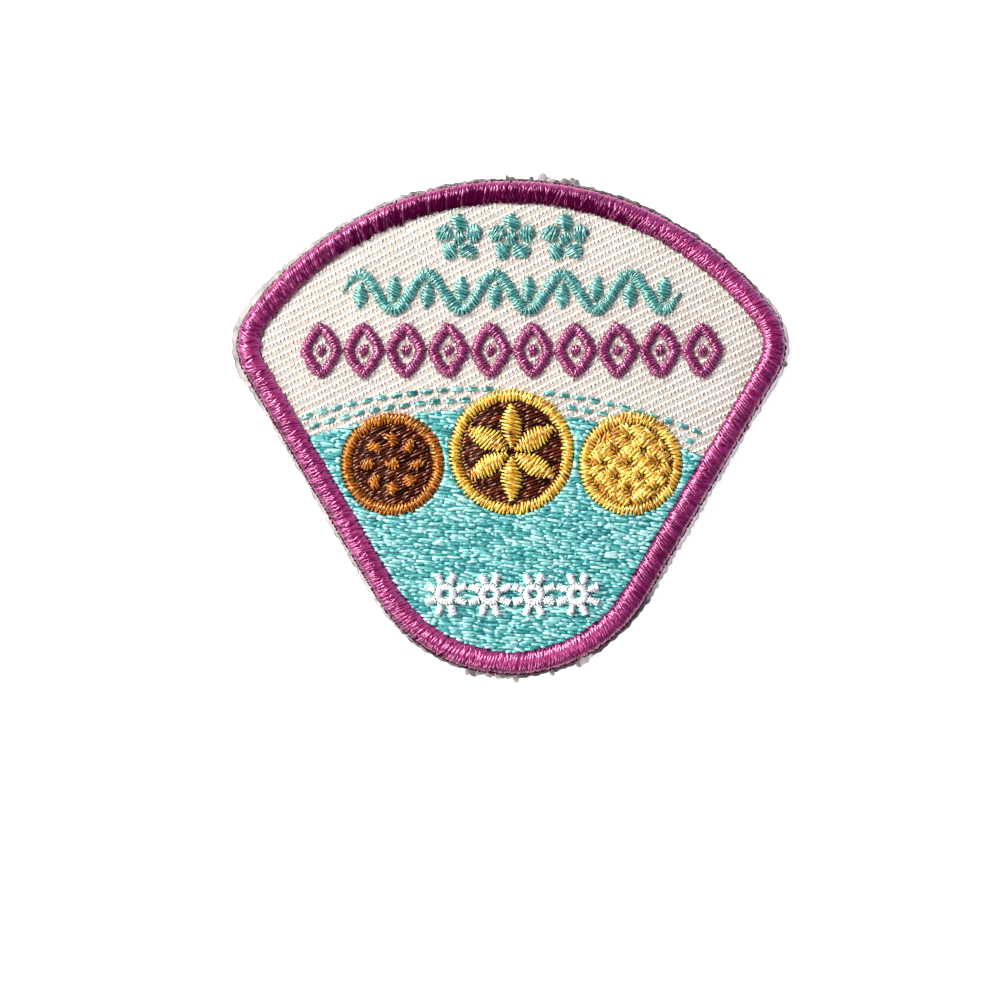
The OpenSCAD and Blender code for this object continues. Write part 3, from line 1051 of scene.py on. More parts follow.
@dataclass
class BackingFilm(Piece):
    """The film under the patch, whose torn rim shows past the border."""

    margin: float = 0.5
    stations: int = 1200
    tufts: int = 45
    scallops: int = 170

    RIM: ClassVar[tuple[RimSection, ...]] = (
        RimSection(0.00, 1.1, 0.6),
        RimSection(0.03, 1.0, 0.3),
        RimSection(0.06, 0.9, -0.4),
        RimSection(0.20, 1.0, -0.5),
        RimSection(0.32, 1.0, -0.2),
        RimSection(0.36, 1.2, -0.2),
        RimSection(0.40, 1.8, -0.2),
        RimSection(0.44, 1.7, -0.2),
        RimSection(0.49, 1.1, -0.1),
        RimSection(0.64, 1.1, -0.1),
        RimSection(0.70, 0.9, -0.4),
        RimSection(0.76, 1.1, -0.6),
        RimSection(0.82, 1.3, -0.5),
        RimSection(0.86, 1.1, 0.5),
        RimSection(1.00, 1.1, 0.6),
    )

    def build(self) -> Bundle:
        """Makes the film with its ragged rim and torn tufts.

        Returns:
            The film's mesh.
        """
        bundle = Bundle(11)
        rng, along = bundle.rng, OUTLINE.around(self.stations)
        ragged = self.ragged(along, rng)
        brow_z = FILM_Z - 0.02 + rng.normal(0, 0.02, len(along))
        rim_z = 0.17 + rng.normal(0, 0.03, len(along))
        insets = (3.1, 2.9, 0.4, 0.2 - ragged, -ragged, 0.1 - ragged, 3.0)
        land, step, ledge, brow, rim, under, back = (
            OUTLINE.place(along, inset)[0] for inset in insets
        )
        rings = [
            lifted(0.33 * land, LAND_Z), lifted(0.66 * land, LAND_Z), lifted(land, LAND_Z),
            lifted(step, FILM_Z), lifted(ledge, FILM_Z), lifted(brow, brow_z), lifted(rim, rim_z),
            lifted(under, 0.0), lifted(back, 0.0), lifted(0.66 * back, 0.0), lifted(0.33 * back, 0.0),
        ]
        # The brow, the rim and the ring under it take deeper tones: a painted shadow line round the
        # film's edge
        tones = np.array([0.6] * 5 + [0.45, 0.0, 0.05] + [0.6] * 3)[:, None] + np.zeros(len(along))
        _, painted_lightness = self.rim(along / OUTLINE.whole())
        tones[:6] += painted_lightness
        bundle.shell(np.array(rings), np.array([0, 0, LAND_Z]), np.zeros(3), tones)
        self.tear(bundle)
        return bundle

    def rim(self, share: Array) -> tuple[Array, Array]:
        """Reads the rim's reach and painted lightness at places round the border, from 0 to 1."""
        shares, reach, painted_lightness = np.array(self.RIM).T
        return np.interp(share, shares, reach), np.interp(share, shares, painted_lightness)

    def ragged(self, along: Array, rng: np.random.Generator) -> Array:
        """How far the rim stands past the border all round.

        Args:
            along: Lengths along the border.
            rng: Source of the rim's shape.
        Returns:
            The distances.
        """
        share = along / OUTLINE.whole()
        reach, _ = self.rim(share)
        rim = self.margin * reach
        for waves, size in ((7, 0.06), (19, 0.05), (43, 0.05), (97, 0.05), (171, 0.05)):
            rim += size * np.sin(2 * math.pi * waves * share + rng.uniform(0, 6.28))
        side = np.interp(share, [0.8, 0.85, 0.98, 1.0], [0, 1, 1, 0])
        rim += 0.2 * side * (np.abs(np.sin(math.pi * self.scallops * share)) - 0.6)
        rim += rng.normal(0, 0.02, len(along))
        return np.clip(rim, 0.12, 1.1)

    def tear(self, bundle: Bundle) -> None:
        """Adds the torn tufts at the crown, the foot and all round.

        Args:
            bundle: The mesh that takes them.
        """
        rng, whole = bundle.rng, OUTLINE.whole()
        crown, foot = 0.21 * whole, 0.735 * whole
        third = self.tufts // 3
        spots = np.concatenate([
            crown + rng.uniform(-6, 5, third),
            foot + rng.uniform(-8, 11, third),
            rng.uniform(0, whole, self.tufts - 2 * third),
        ])
        edge = self.ragged(spots, rng)
        torn = np.arange(self.tufts) < 2 * third
        reach = (edge * np.where(torn, rng.uniform(1.2, 2.3, self.tufts), 1.1))[:, None]
        share = np.array([0.0, 0.15, 0.45, 0.75, 0.92, 1.0])
        at = spots[:, None] + rng.normal(0, 0.25, (self.tufts, 1)) * share**2
        flat, _ = OUTLINE.place(at, 0.3 - (reach + 0.3) * share)
        z = 0.15 + rng.uniform(0.0, 0.45, (self.tufts, 1)) * share**1.5
        wide = rng.uniform(0.25, 0.75, (self.tufts, 1)) * np.array([1, 1, 0.95, 0.85, 0.65, 0.4])
        bundle.threads(lifted(flat, z), wide, 0.08, rng.uniform(0.0, 0.5, self.tufts))

    def dress(self) -> None:
        film = self.fix(self.build(), "backing_film_sheet", SealFilm(), "backing_film")


@dataclass
class TwillGround(Piece):
    """The cream twill: a cloth body, its weft yarns and the floats of its warp."""

    warp_angle: float = 62.0
    wale_angle: float = 27.0
    wale_pitch: float = 0.9
    float_pitch: float = 0.53
    tip_angle: float = 74.0
    tip_len: float = 0.84
    tip_w: float = 0.16
    edge: float = 0.7
    stations: int = 240
    weft_halves: tuple[float, float] = (0.36, 0.07)
    ridge_halves: tuple[float, float] = (0.26, 0.08)

    def shown(self, margin: float) -> Region:
        """Where the twill isn't covered by embroidery.

        Args:
            margin: How far the region runs under its neighbours.
        Returns:
            A test that takes points and gives one truth value each.
        """
        hill, rounds = disc(LAYOUT.hill_c, LAYOUT.hill_r - margin), medallions(-margin)
        inset = LAYOUT.border_w - margin
        return lambda points: OUTLINE.holds(points, inset) & ~rounds(points) & ~hill(points)

    def cloth(self) -> Bundle:
        """Makes the body of the cloth.

        Returns:
            Its mesh.
        """
        bundle = Bundle()
        along = OUTLINE.around(self.stations)
        edge, _ = OUTLINE.place(along, self.edge)
        inner, _ = OUTLINE.place(along, self.edge + 0.2)
        top, low = CLOTH_Z - 0.08, TWILL_Z
        rings = [
            lifted(0.33 * inner, top), lifted(0.66 * inner, top), lifted(inner, top),
            lifted(edge, top - 0.15), lifted(edge, low + 0.1), lifted(inner, low),
            lifted(0.66 * inner, low), lifted(0.33 * inner, low),
        ]
        tones = np.full((len(rings), self.stations), 0.4)
        bundle.shell(np.array(rings), np.array([0, 0, top]), np.array([0, 0, low]), tones)
        return bundle

    def slope(self) -> float:
        """How far a step along the warp climbs over the wales."""
        return math.sin(math.radians(self.warp_angle - self.wale_angle))

    def wefts(self) -> Bundle:
        """Makes what shows in the grooves: weft yarns, low ridges and faint floats.

        Returns:
            Their mesh.
        """
        bundle = Bundle(23)
        rng = bundle.rng
        weave = Filling(angle=self.warp_angle - 90, pitch=self.wale_pitch / self.slope() / 3)
        rows = weave.runs(self.shown(0.5), 40.0)
        share = np.concatenate([[0.0], np.linspace(0.004, 0.996, 14), [1.0]])
        many = (len(rows), len(share))
        flat = weave.points(rows, share, rng.normal(0, 0.012, many))
        z = CLOTH_Z - 0.07 + rng.normal(0, 0.008, many)
        # The wefts take deep tones: painted shade in the grooves
        bundle.threads(lifted(flat, z), *self.weft_halves, rng.uniform(0, 0.4, len(rows)))
        self.wales(bundle)
        self.tips(bundle, 0.5, 0.5 * self.tip_w, CLOTH_Z - 0.135)
        return bundle

    def bend(self, points: Array) -> Array:
        """How far the wales stray from straight lines, measured along the warp."""
        return 0.25 * np.sin(points[..., 0] * 0.11 + points[..., 1] * 0.07)

    def wales(self, bundle: Bundle) -> None:
        """Adds the low ridges of the twill, which rise to the right.

        Args:
            bundle: The mesh that takes them.
        """
        rng = bundle.rng
        ridges = Filling(angle=self.wale_angle, pitch=self.wale_pitch)
        rows = ridges.runs(self.shown(0.5), 45 * self.wale_pitch)
        share = np.concatenate([[0.0], np.linspace(0.004, 0.996, 40), [1.0]])
        many = (len(rows), len(share))
        flat = ridges.points(rows, share)
        sway = self.slope() * self.bend(flat) + rng.normal(0, 0.015, many)
        flat = flat + sway[..., None] * ridges.over()
        z = CLOTH_Z - 0.045 + rng.normal(0, 0.008, many)
        # The ridges take lighter tones than the wefts beside them: painted light on the raised wales
        bundle.threads(lifted(flat, z), *self.ridge_halves, rng.uniform(0.6, 0.95, len(rows)))

    def tips(self, bundle: Bundle, shift: float, half_w: float, z: float) -> None:
        """Adds the floats of the warp, in rows along the wales.

        Args:
            bundle: The mesh that takes them.
            shift: How far the rows lie from the ridges, as a share of the repeat.
            half_w: Half width of a float.
            z: Height of its middle where it leaves the cloth.
        """
        rng = bundle.rng
        warp, step = toward(self.warp_angle), self.float_pitch * toward(self.wale_angle)
        repeat = self.wale_pitch / self.slope()
        i, j = np.meshgrid(np.arange(-60, 61), np.arange(-200, 201), indexing="ij")
        spots = (i.reshape(-1, 1) + shift) * repeat * warp + j.reshape(-1, 1) * step
        spots = spots + self.bend(spots)[:, None] * warp
        spots = spots[self.shown(0.35)(spots)]
        many = len(spots)
        spots = spots + rng.normal(0, 0.03, (many, 2))
        share = np.array([-0.5, -0.36, -0.12, 0.14, 0.36, 0.5])
        lift = np.array([-0.2, -0.05, 0.09, 0.09, -0.05, -0.2])
        length = self.tip_len * (1 + rng.normal(0, 0.08, (many, 1)))
        turn = math.radians(self.tip_angle) + rng.normal(0, 0.09, many)
        flat = spots[:, None] + (length * share)[..., None] * heading(turn)[:, None]
        z = z + lift + rng.normal(0, 0.012, (many, 1))
        wide = half_w * np.array([0.5, 0.8, 1.0, 1.0, 0.8, 0.5])
        wide = wide * (1 + rng.normal(0, 0.08, (many, 1)))
        bundle.threads(lifted(flat, z), wide, 0.1, rng.uniform(0.3, 1, many), sides=5)

    def floats(self) -> Bundle:
        """Makes the pale floats that stand on the ridges.

        Returns:
            Their mesh.
        """
        bundle = Bundle(29)
        self.tips(bundle, 0.0, self.tip_w, CLOTH_Z - 0.07)
        return bundle

    def dress(self) -> None:
        """Writes the cloth and its yarns."""
        cloth = self.fix(self.cloth(), "twill_cloth", SHADED_WEFT, "twill_ground")
        wefts = self.fix(self.wefts(), "twill_wefts", SHADED_WEFT, "twill_ground")
        floats = self.fix(self.floats(), "twill_floats", YARN, "twill_ground")


class PaintedThreadShade(NamedTuple):
    """Painted light and shade on the border's thread where the outline faces one way, as steps of tone.
    """

    facing: float
    inner: float
    middle: float
    outer: float


class Layer(NamedTuple):
    """One layer of the border's wraps."""

    slant: Slant
    shift: float
    depth: float
    lean: float


@dataclass
class MerrowBorder(Piece):
    """The overlocked border: two crossing layers of thread wrapped round the edge."""

    width: float = LAYOUT.border_w
    pitch: float = 0.37
    middle_z: float = 1.8
    squareness: float = 1.9
    half_w: float = 0.2
    half_h: float = 0.12
    core_z: float = 1.5
    core_halves: tuple[float, float] = (1.27, 0.98)

    LAYERS: ClassVar[tuple[Layer, ...]] = (
        Layer(Slant.FORWARD, shift=0.0, depth=0.21, lean=1.1),
        Layer(Slant.BACKWARD, shift=0.5, depth=0.16, lean=1.5),
    )
    # Painted light and shade round the border: steps of tone for each wrap's inner, middle and outer
    # parts, by the way the outline faces
    PAINTED_SHADES: ClassVar[tuple[PaintedThreadShade, ...]] = (
        PaintedThreadShade(-150, 0.15, 0.0, -0.25),
        PaintedThreadShade(-118, 0.1, 0.35, -0.35),
        PaintedThreadShade(-95, -0.15, 0.6, -0.3),
        PaintedThreadShade(-55, -0.2, 0.45, -0.15),
        PaintedThreadShade(-35, -0.1, -0.2, -0.15),
        PaintedThreadShade(0, -0.1, -0.2, -0.25),
        PaintedThreadShade(50, -0.1, 0.35, -0.15),
        PaintedThreadShade(66, -0.4, -0.05, -0.05),
        PaintedThreadShade(80, -0.5, -0.5, -0.05),
        PaintedThreadShade(110, -0.55, -0.5, -0.1),
        PaintedThreadShade(130, -0.2, -0.25, -0.15),
        PaintedThreadShade(180, 0.15, 0.0, -0.15),
    )
    # Where the painted inner and middle shades end along a wrap, and how long a change takes
    INNER: ClassVar[float] = -0.3
    MIDDLE: ClassVar[float] = -0.11
    CHANGE: ClassVar[float] = 0.19
    # Where a wrap's painted shade begins down its outer slope, and how fast it deepens
    SLOPE_SHADE_FROM: ClassVar[float] = 0.2
    SLOPE_SHADE: ClassVar[float] = 4.0
    # Spread of a wrap's start, in pitches, of its bow and of how far it leans
    JITTER: ClassVar[float] = 0.07
    BOW: ClassVar[float] = 0.08
    STRAY: ClassVar[float] = 0.22
    # Where a wrap's points lie round the section, in degrees from its outer side
    TURNS: ClassVar[Array] = np.array([172, 156, 136, 112, 88, 64, 42, 20, -4, -32, -70])

    def wraps(self, bundle: Bundle, layer: Layer) -> None:
        """Adds one layer of wraps.

        Args:
            bundle: The mesh that takes them.
            layer: The slant of the layer's wraps, where the first one starts as a share of
                the pitch, how far the layer lies under the outside of the border, and how
                far a wrap runs along the border while it crosses it.
        """
        rng, whole = bundle.rng, OUTLINE.whole()
        count, points = round(whole / self.pitch), len(self.TURNS)
        start = (np.arange(count) + layer.shift) * whole / count
        start = start + rng.normal(0, self.JITTER * self.pitch, count)
        cos, sin = bulged(np.radians(self.TURNS), 2 / self.squareness)
        deep = layer.depth + rng.normal(0, 0.04, (count, 1))
        deep = np.maximum(deep + rng.normal(0, 0.025, (count, points)), 0.1)
        inset = self.width / 2 - (self.width / 2 - deep) * cos
        over = BORDER_TOP_Z - self.middle_z - deep
        under = self.middle_z - BORDER_Z - deep
        z = self.middle_z + np.where(sin > 0, over, under) * sin
        z[:, 0] = CLOTH_Z - 0.02
        inset = inset + rng.normal(0.04, 0.09, (count, 1)) * (cos < -0.8)
        inset[:, 0] += 0.1
        share = np.linspace(-0.5, 0.5, points)
        bow = rng.normal(0, self.BOW, (count, 1)) * np.sin(math.pi * (share + 0.5))
        crossing = layer.slant.value * layer.lean + rng.normal(0, self.STRAY, (count, 1))
        along = start[:, None] + crossing * share + bow
        inset[:, -2:] = rng.uniform(0.0, 0.3, (count, 1)) * [-0.4, -1.0]
        z[:, -2:] = [0.62, 0.4]
        flat, out = OUTLINE.place(along, inset)
        across = lifted(np.stack([-out[..., 1], out[..., 0]], -1), 0.0)
        wide = self.half_w * (1 + rng.normal(0, 0.1, (count, 1))) * np.ones(points)
        wide[:, -3:] *= [1.0, 0.7, 0.5]
        # Each wrap's tone is its own random tone plus the border's painted light and shade
        tones = rng.uniform(0.27, 0.63, (count, 1)) + self.painted_shading(share, out)
        bundle.threads(lifted(flat, z), wide, self.half_h, tones, across=across)

    def painted_shading(self, share: Array, out: Array) -> Array:
        """The painted light and shade along a wrap over the border: steps of tone by the way the
        outline faces.

        Args:
            share: Where the points lie along a wrap, from the inside to the outside.
            out: The outward headings at the points.
        Returns:
            What is added to the tone of each point.
        """
        turn = np.degrees(np.arctan2(out[..., 1], out[..., 0]))
        facing, *parts = zip(*self.PAINTED_SHADES)
        inner, middle, outer = (np.interp(turn, facing, part, period=360) for part in parts)
        tone = inner + (middle - inner) * np.clip((share - self.INNER) / self.CHANGE, 0, 1)
        tone = tone + (outer - middle) * np.clip((share - self.MIDDLE) / self.CHANGE, 0, 1)
        # Painted shade: the tone falls away down the outer slope
        return tone - self.SLOPE_SHADE * np.maximum(share - self.SLOPE_SHADE_FROM, 0)

    def dress(self) -> None:
        """Makes the wraps over their core and writes them."""
        bundle = Bundle(31)
        flat, _ = OUTLINE.place(OUTLINE.around(360), self.width / 2)
        bundle.loop(lifted(flat, self.core_z), *self.core_halves, sides=16, tone=0.4)
        for layer in self.LAYERS:
            self.wraps(bundle, layer)
        self.fix(bundle, "border_wraps", ORCHID, "merrow_border")


@dataclass
class HillFilling(Piece):
    """The teal hill of flat filling stitches, with two dashed lines over its crest."""

    inset: float = 2.97
    overlap: float = 0.12
    dash: float = 1.45
    dash_gap: float = 0.5
    lines: tuple[float, float] = (1.45, 2.85)

    ROWS: ClassVar[Filling] = Filling(
        angle=-3.0, pitch=0.36, stitch=1.45, scatter=0.26, hump=0.13, wander=0.08, slew=-0.16,
        swing=0.2,
    )

    def fill(self) -> Bundle:
        """Makes the filling.

        Returns:
            Its mesh.
        """
        bundle = Bundle(41)
        crest = disc(LAYOUT.hill_c, LAYOUT.hill_r + self.overlap)
        holes = medallions(LAYOUT.stitch_gap - self.overlap)
        inset = self.inset - self.overlap
        self.ROWS.lay(
            bundle, lambda points: crest(points) & OUTLINE.holds(points, inset) & ~holes(points),
            middle=(0.0, -12.0), reach=36.0,
        )
        return bundle

    def dashes(self) -> Bundle:
        """Makes the running stitches over the crest.

        Returns:
            Their mesh.
        """
        bundle = Bundle(43)
        rng, rounds = bundle.rng, medallions(0.3)
        share = np.array([0.0, 0.08, 0.25, 0.5, 0.75, 0.92, 1.0])
        lift = np.array([-0.25, -0.02, 0.12, 0.17, 0.12, -0.02, -0.25])
        for line, rise in enumerate(self.lines):
            radius = LAYOUT.hill_r + rise
            step = (self.dash + self.dash_gap) / radius
            turns = math.pi / 2 + (np.arange(-20, 21) + 0.5 * line) * step
            for strand in (-0.11, 0.11):
                turn = turns[:, None] - self.dash / radius * (share - 0.5)
                turn = turn + rng.normal(0, 0.05 / radius, (len(turns), 1))
                reach = radius + strand + rng.normal(0, 0.03, (len(turns), 1))
                flat = np.array(LAYOUT.hill_c) + reach[..., None] * heading(turn)
                ends = np.concatenate([flat[:, 0], flat[:, -1]])
                free = OUTLINE.holds(ends, 3.2) & ~rounds(ends)
                path = lifted(flat[free.reshape(2, -1).all(axis=0)], CLOTH_Z + 0.08 + lift)
                bundle.threads(path, 0.19, 0.14, rng.uniform(0.1, 0.9, len(path)), sides=7)
        return bundle

    def dress(self) -> None:
        """Writes the filling and its dashed lines."""
        self.fix(self.fill(), "hill_stitches", AQUA, "hill_fill")
        self.fix(self.dashes(), "crest_running_stitches", TEAL)


@dataclass
class BlossomRow(Piece):
    """Three five-petalled blossoms in satin stitches."""

    blossoms: int = 3
    pitch: float = 6.8
    petals: int = 5
    span: tuple[float, float] = (0.95, 3.1)
    petal_w: float = 2.18
    eye_r: float = 0.75

    def dress(self) -> None:
        """Makes the row and writes it."""
        bundle = Bundle(51)
        for centre in in_row(self.blossoms, self.pitch, LAYOUT.blossom_y):
            for petal in range(self.petals):
                turn = 90 + petal * 360 / self.petals
                Satin().leaf(bundle, centre, turn, self.span, self.petal_w)
            Satin().dot(bundle, centre, self.eye_r)
        self.fix(bundle, "blossom_row_satin", TEAL, "blossom_row")


@dataclass
class Vine(Piece):
    """A waving stem with a leaf in each of its hollows."""

    waves: int = 5
    wave: float = 8.6
    swing: float = 2.375
    half: float = 0.625
    leaf_drop: float = 0.4
    leaf_span: tuple[float, float] = (-1.65, 1.65)
    leaf_w: float = 1.7
    leaf_turn: float = 82.0

    def stem(self) -> Bundle:
        """Makes the stem.

        Returns:
            Its mesh.
        """
        bundle = Bundle(61)
        turns = np.linspace(0, self.waves, self.waves * 24 + 1)
        x = (turns - self.waves / 2) * self.wave
        path = np.stack([x, LAYOUT.vine_y + self.swing * np.sin(2 * math.pi * turns)], -1)
        ends = np.minimum(turns, self.waves - turns) / 0.25
        Satin().lay(bundle, path, self.half * np.minimum(1, 0.15 + 0.85 * ends))
        return bundle

    def leaves(self) -> Bundle:
        """Makes the leaves.

        Returns:
            Their mesh.
        """
        bundle = Bundle(67)
        for i, centre in enumerate(in_row(2 * self.waves, self.wave / 2, LAYOUT.vine_y)):
            centre[1] += self.leaf_drop * (1 if i % 2 else -1)
            Satin().leaf(bundle, centre, self.leaf_turn, self.leaf_span, self.leaf_w)
        return bundle

    def dress(self) -> None:
        """Writes the stem and the leaves."""
        self.fix(self.stem(), "vine_stem_satin", TEAL, "vine_stem")
        self.fix(self.leaves(), "vine_leaves_satin", TEAL, "vine_leaves")


@dataclass
class LozengeRow(Piece):
    """Ten open lozenges with a knot in each."""

    count: int = 10
    pitch: float = 5.4
    halves: tuple[float, float] = (1.975, 2.975)
    power: float = 1.6
    half: float = 0.625

    def dress(self) -> None:
        """Makes the row and writes it."""
        bundle = Bundle(71)
        turn = np.linspace(0, 2 * math.pi, 72, endpoint=False)
        shape = np.stack(bulged(turn, self.power), -1) * self.halves
        for centre in in_row(self.count, self.pitch, LAYOUT.lozenge_y):
            Satin().lay(bundle, centre + shape, self.half, closed=True)
            Satin().dot(bundle, centre, self.half)
        self.fix(bundle, "lozenge_row_satin", PLUM, "lozenge_row")


@dataclass
class StarRow(Piece):
    """Four small stars in fine white lines over the hill."""

    stars: int = 4
    pitch: float = 5.6
    rays: int = 8
    ring_r: float = 1.0
    ray: tuple[float, float] = (1.5, 2.8)
    line_w: float = 0.76

    LINE: ClassVar[Satin] = Satin(
        pitch=0.14, half_w=0.095, half_h=0.08, base_z=OVER_FILL_Z, raggedness=0.06, lean=0.3,
        unevenness=0.04,
    )

    def dress(self) -> None:
        """Makes the row and writes it."""
        bundle = Bundle(81)
        ring = self.ring_r * heading(np.linspace(0, 2 * math.pi, 32, endpoint=False))
        reach = np.linspace(*self.ray, 7)[:, None]
        for centre in in_row(self.stars, self.pitch, LAYOUT.star_y):
            self.LINE.lay(bundle, centre + ring, self.line_w / 2, closed=True)
            for ray in range(self.rays):
                path = centre + reach * toward((ray + 0.5) * 360 / self.rays)
                self.LINE.lay(bundle, path, self.line_w / 2)
        self.fix(bundle, "star_row_lines", SNOW, "star_row")


DARK_ROWS = Filling(angle=20.0, pitch=0.4, stitch=1.7, scatter=0.25, half_w=0.17, hump=0.14)
RING = Satin(pitch=0.24, half_w=0.13, rise=0.95, raggedness=0.1)


@dataclass
class Medallion(Piece):
    """A round medallion: a filled ground, a ring of satin stitches and an ornament."""

    name: str = "rosette"
    ornament: str = "rosette_petals"
    centre: Point = LAYOUT.rosette_c
    radius: float = LAYOUT.rosette_r
    seed: int = 91
    rows: Filling = DARK_ROWS
    ground_thread: Rayon = COCOA
    thread: Rayon = GOLD

    def ground(self) -> Bundle:
        """Makes the filled ground.

        Returns:
            Its mesh.
        """
        bundle = Bundle(self.seed)
        inner = self.radius - LAYOUT.ring_w - 0.05
        self.rows.lay(bundle, disc(self.centre, inner), self.centre, inner + 1)
        return bundle

    def ring(self) -> Bundle:
        """Makes the ring of satin stitches.

        Returns:
            Its mesh.
        """
        bundle = Bundle(self.seed + 1)
        turn = np.linspace(0, 2 * math.pi, 120, endpoint=False)
        path = np.array(self.centre) + (self.radius - LAYOUT.ring_w / 2) * heading(turn)
        RING.lay(bundle, path, LAYOUT.ring_w / 2, closed=True)
        return bundle

    def adorn(self, bundle: Bundle) -> None:
        """Adds the ornament to a bundle, in the medallion's own way."""
        raise NotImplementedError

    def dress(self) -> None:
        """Writes the medallion."""
        self.fix(self.ground(), f"{self.name}_ground_fill", self.ground_thread, f"{self.name}_ground")
        self.fix(self.ring(), f"{self.name}_ring_satin", self.thread, f"{self.name}_ring")
        bundle = Bundle(self.seed + 2)
        self.adorn(bundle)
        self.fix(bundle, f"{self.ornament}_satin", self.thread, self.ornament)


@dataclass
class Rosette(Medallion):
    """The rosette in the middle: six gold petals on a dark ground."""

    petals: int = 6
    petal_w: float = 2.5
    span: tuple[float, float] = (0.6, 6.2)

    def adorn(self, bundle: Bundle) -> None:
        """Adds the petals.

        Args:
            bundle: The mesh that takes them.
        """
        satin = Satin(pitch=0.22, base_z=OVER_FILL_Z, raggedness=0.1, unevenness=0.05)
        for petal in range(self.petals):
            satin.leaf(bundle, self.centre, 90 + petal * 360 / self.petals, self.span, self.petal_w)


@dataclass
class FleckMedallion(Medallion):
    """The dark medallion at the left, with rust flecks."""

    name: str = "fleck"
    ornament: str = "flecks"
    centre: Point = LAYOUT.left_c
    radius: float = LAYOUT.side_r
    seed: int = 101
    rows: Filling = replace(DARK_ROWS, angle=24.0)
    thread: Rayon = RUST
    flecks: int = 8
    fleck_r: float = 3.1
    span: tuple[float, float] = (-0.85, 0.85)
    fleck_w: float = 1.19

    def adorn(self, bundle: Bundle) -> None:
        """Adds one fleck in the middle and a ring of them round it.

        Args:
            bundle: The mesh that takes them.
        """
        satin = Satin(half_w=0.13, base_z=OVER_FILL_Z, raggedness=0.14)
        round_it = [(self.fleck_r, i * 360 / self.flecks) for i in range(self.flecks)]
        for reach, turn in [(0.0, 0.0), *round_it]:
            satin.leaf(bundle, self.centre + reach * toward(turn), turn, self.span, self.fleck_w)


@dataclass
class LatticeMedallion(Medallion):
    """The straw yellow medallion at the right, with a lattice of crossing bars."""

    name: str = "lattice"
    ornament: str = "lattice_bars"
    centre: Point = LAYOUT.right_c
    radius: float = LAYOUT.side_r
    seed: int = 111
    rows: Filling = Filling(angle=70.0, stitch=1.6)
    ground_thread: Rayon = AMBER
    thread: Rayon = STRAW
    bars: int = 4
    bar_w: float = 1.3
    reach: float = 4.8

    def adorn(self, bundle: Bundle) -> None:
        """Adds the bars, those that rise to the left over the others.

        Args:
            bundle: The mesh that takes them.
        """
        pitch = 2 * self.reach / self.bars
        for lay, z in ((45.0, OVER_FILL_Z - 0.1), (135.0, OVER_FILL_Z + 0.02)):
            satin = Satin(pitch=0.24, half_w=0.15, base_z=z, raggedness=0.12, unevenness=0.07)
            for aside, _ in in_row(self.bars, pitch, 0.0):
                half = math.sqrt(self.reach**2 - aside**2)
                spots = np.linspace(-half, half, 24)[:, None]
                path = self.centre + aside * toward(lay + 90) + spots * toward(lay)
                satin.lay(bundle, path, self.bar_w / 2)


class Lamp(NamedTuple):
    """A soft square light that faces the patch: place and side in metres, power in watts."""

    name: str
    place: tuple[float, float, float]
    size: float
    power: float
    colour: Colour


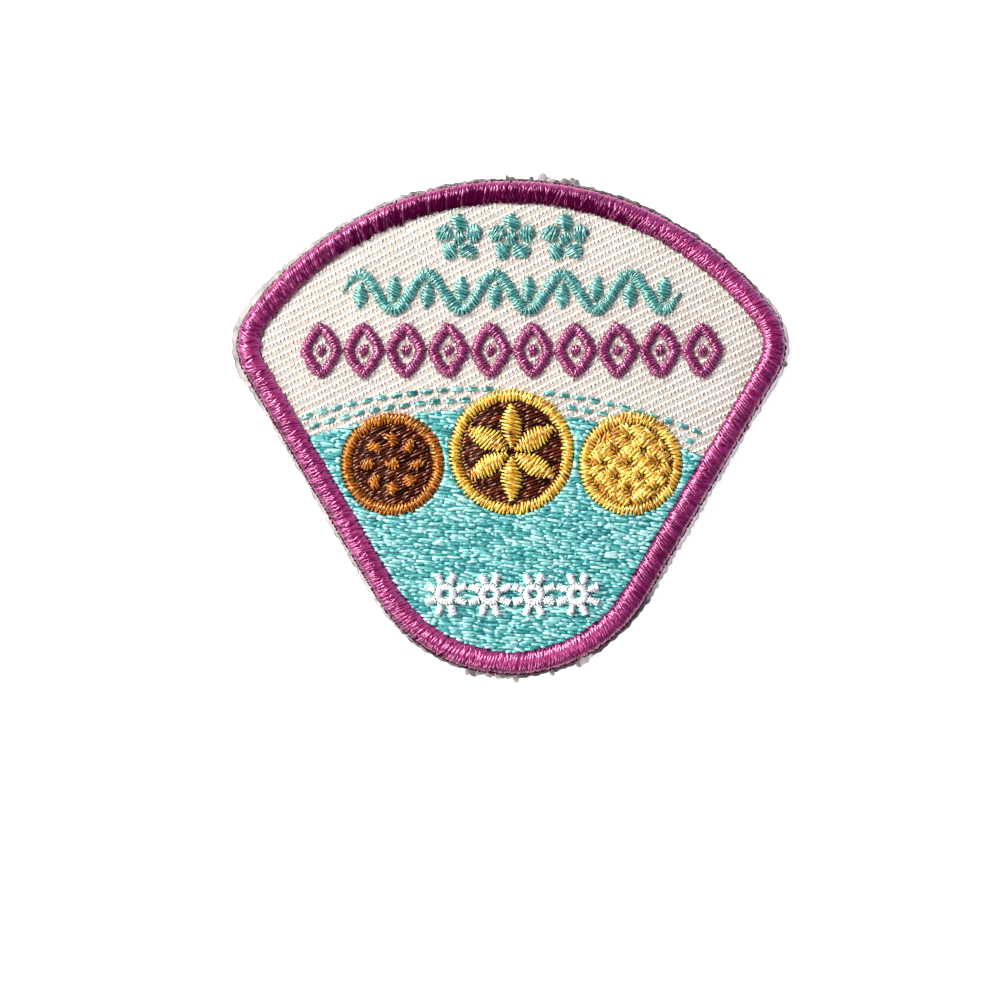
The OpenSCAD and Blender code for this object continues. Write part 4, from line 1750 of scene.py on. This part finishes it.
@dataclass
class Studio:
    """The pale floor, the soft lights and the camera straight above."""

    view_w: float = 128.2
    view_c: Point = (-1.474, -9.282)
    lens: float = 100.0
    sensor: float = 36.0
    floor_half: float = 2.0
    floor_glow: float = 0.75

    LAMPS: ClassVar[tuple[Lamp, ...]] = (
        Lamp("key", (-0.300, 0.250, 0.315), 0.24, 4.4, (1.0, 0.98, 0.94)),
        Lamp("fill", (0.68, 0.30, 0.36), 0.6, 1.5, (0.36, 0.42, 1.0)),
        Lamp("bounce", (-0.48, -0.36, 0.36), 0.35, 3.4, (1.0, 0.95, 0.97)),
    )

    def hang(self, name: str, data: bpy.types.ID) -> bpy.types.Object:
        """Links a mesh, light or camera to the scene as an object.

        Args:
            name: The object's name.
            data: The mesh, light or camera.
        Returns:
            The object.
        """
        obj = bpy.data.objects.new(name, data)
        bpy.context.scene.collection.objects.link(obj)
        return obj

    def floor(self) -> None:
        """Lays the floor."""
        mesh = bpy.data.meshes.new("floor")
        half = self.floor_half
        corners = [(-half, -half, 0), (half, -half, 0), (half, half, 0), (-half, half, 0)]
        mesh.from_pydata(corners, [], [(0, 1, 2, 3)])
        kit = principled("pale_floor")
        stops = [(0.3, (0.90, 0.90, 0.90)), (0.7, (0.92, 0.92, 0.92))]
        kit.set({
            "Base Color": kit.ramp(kit.noise(60.0, 2.0), stops),
            "Roughness": 0.9,
            "Specular IOR Level": 0.1,
            "Emission Color": (1.0, 1.0, 1.0, 1.0),
            "Emission Strength": self.floor_glow,
        })
        mesh.materials.append(kit.owner)
        self.hang("floor", mesh)

    def light(self, lamp: Lamp) -> None:
        """Hangs a light.

        Args:
            lamp: The light.
        """
        data = bpy.data.lights.new(lamp.name, "AREA")
        data.shape = "SQUARE"
        data.size, data.energy, data.color = lamp.size, lamp.power, lamp.colour
        obj = self.hang(lamp.name, data)
        obj.location = lamp.place
        obj.rotation_euler = (-Vector(lamp.place)).to_track_quat("-Z", "Y").to_euler()

    def camera(self) -> None:
        """Sets the camera straight above the patch."""
        data = bpy.data.cameras.new("camera")
        data.lens = self.lens
        data.sensor_width = self.sensor
        data.clip_start, data.clip_end = 0.01, 10.0
        obj = self.hang("camera", data)
        height = self.view_w * self.lens / self.sensor * MM
        obj.location = (self.view_c[0] * MM, self.view_c[1] * MM, height)
        bpy.context.scene.camera = obj

    def air(self) -> None:
        """Fills the studio with soft light, which dims towards the ceiling and to the right."""
        kit = Nodes(bpy.data.worlds.new("studio_air"), "Background")
        way = kit.where["Generated"]
        height = kit.add("ShaderNodeSeparateXYZ", {"Vector": way}).outputs["Z"]
        side = kit.add("ShaderNodeVectorMath", {0: way, 1: (-0.68, 0.73, 0.0)}, operation="DOT_PRODUCT")
        kit.set({
            "Color": kit.ramp(height, [(0.15, (0.62, 0.60, 0.59)), (0.9, (0.10, 0.10, 0.10))]),
            "Strength": kit.math("MULTIPLY_ADD", side.outputs["Value"], 0.6, 0.8),
        })
        bpy.context.scene.world = kit.owner

    def build(self) -> None:
        """Sets up the whole studio."""
        self.camera()
        self.floor()
        for lamp in self.LAMPS:
            self.light(lamp)
        self.air()
        bpy.context.scene.view_settings.view_transform = "Standard"


def main() -> None:
    """Builds the studio and every sub-assembly of the patch, in order."""
    logging.basicConfig(level=logging.INFO, format="%(name)s: %(message)s")
    Studio().build()
    for part in (
        BackingFilm(), TwillGround(), MerrowBorder(), HillFilling(), BlossomRow(), Vine(),
        LozengeRow(), StarRow(), Rosette(), FleckMedallion(), LatticeMedallion(),
    ):
        part.dress()
        LOG.info("%s: %d pieces", type(part).__name__, len(part.made))


if __name__ == "__main__":
    main()
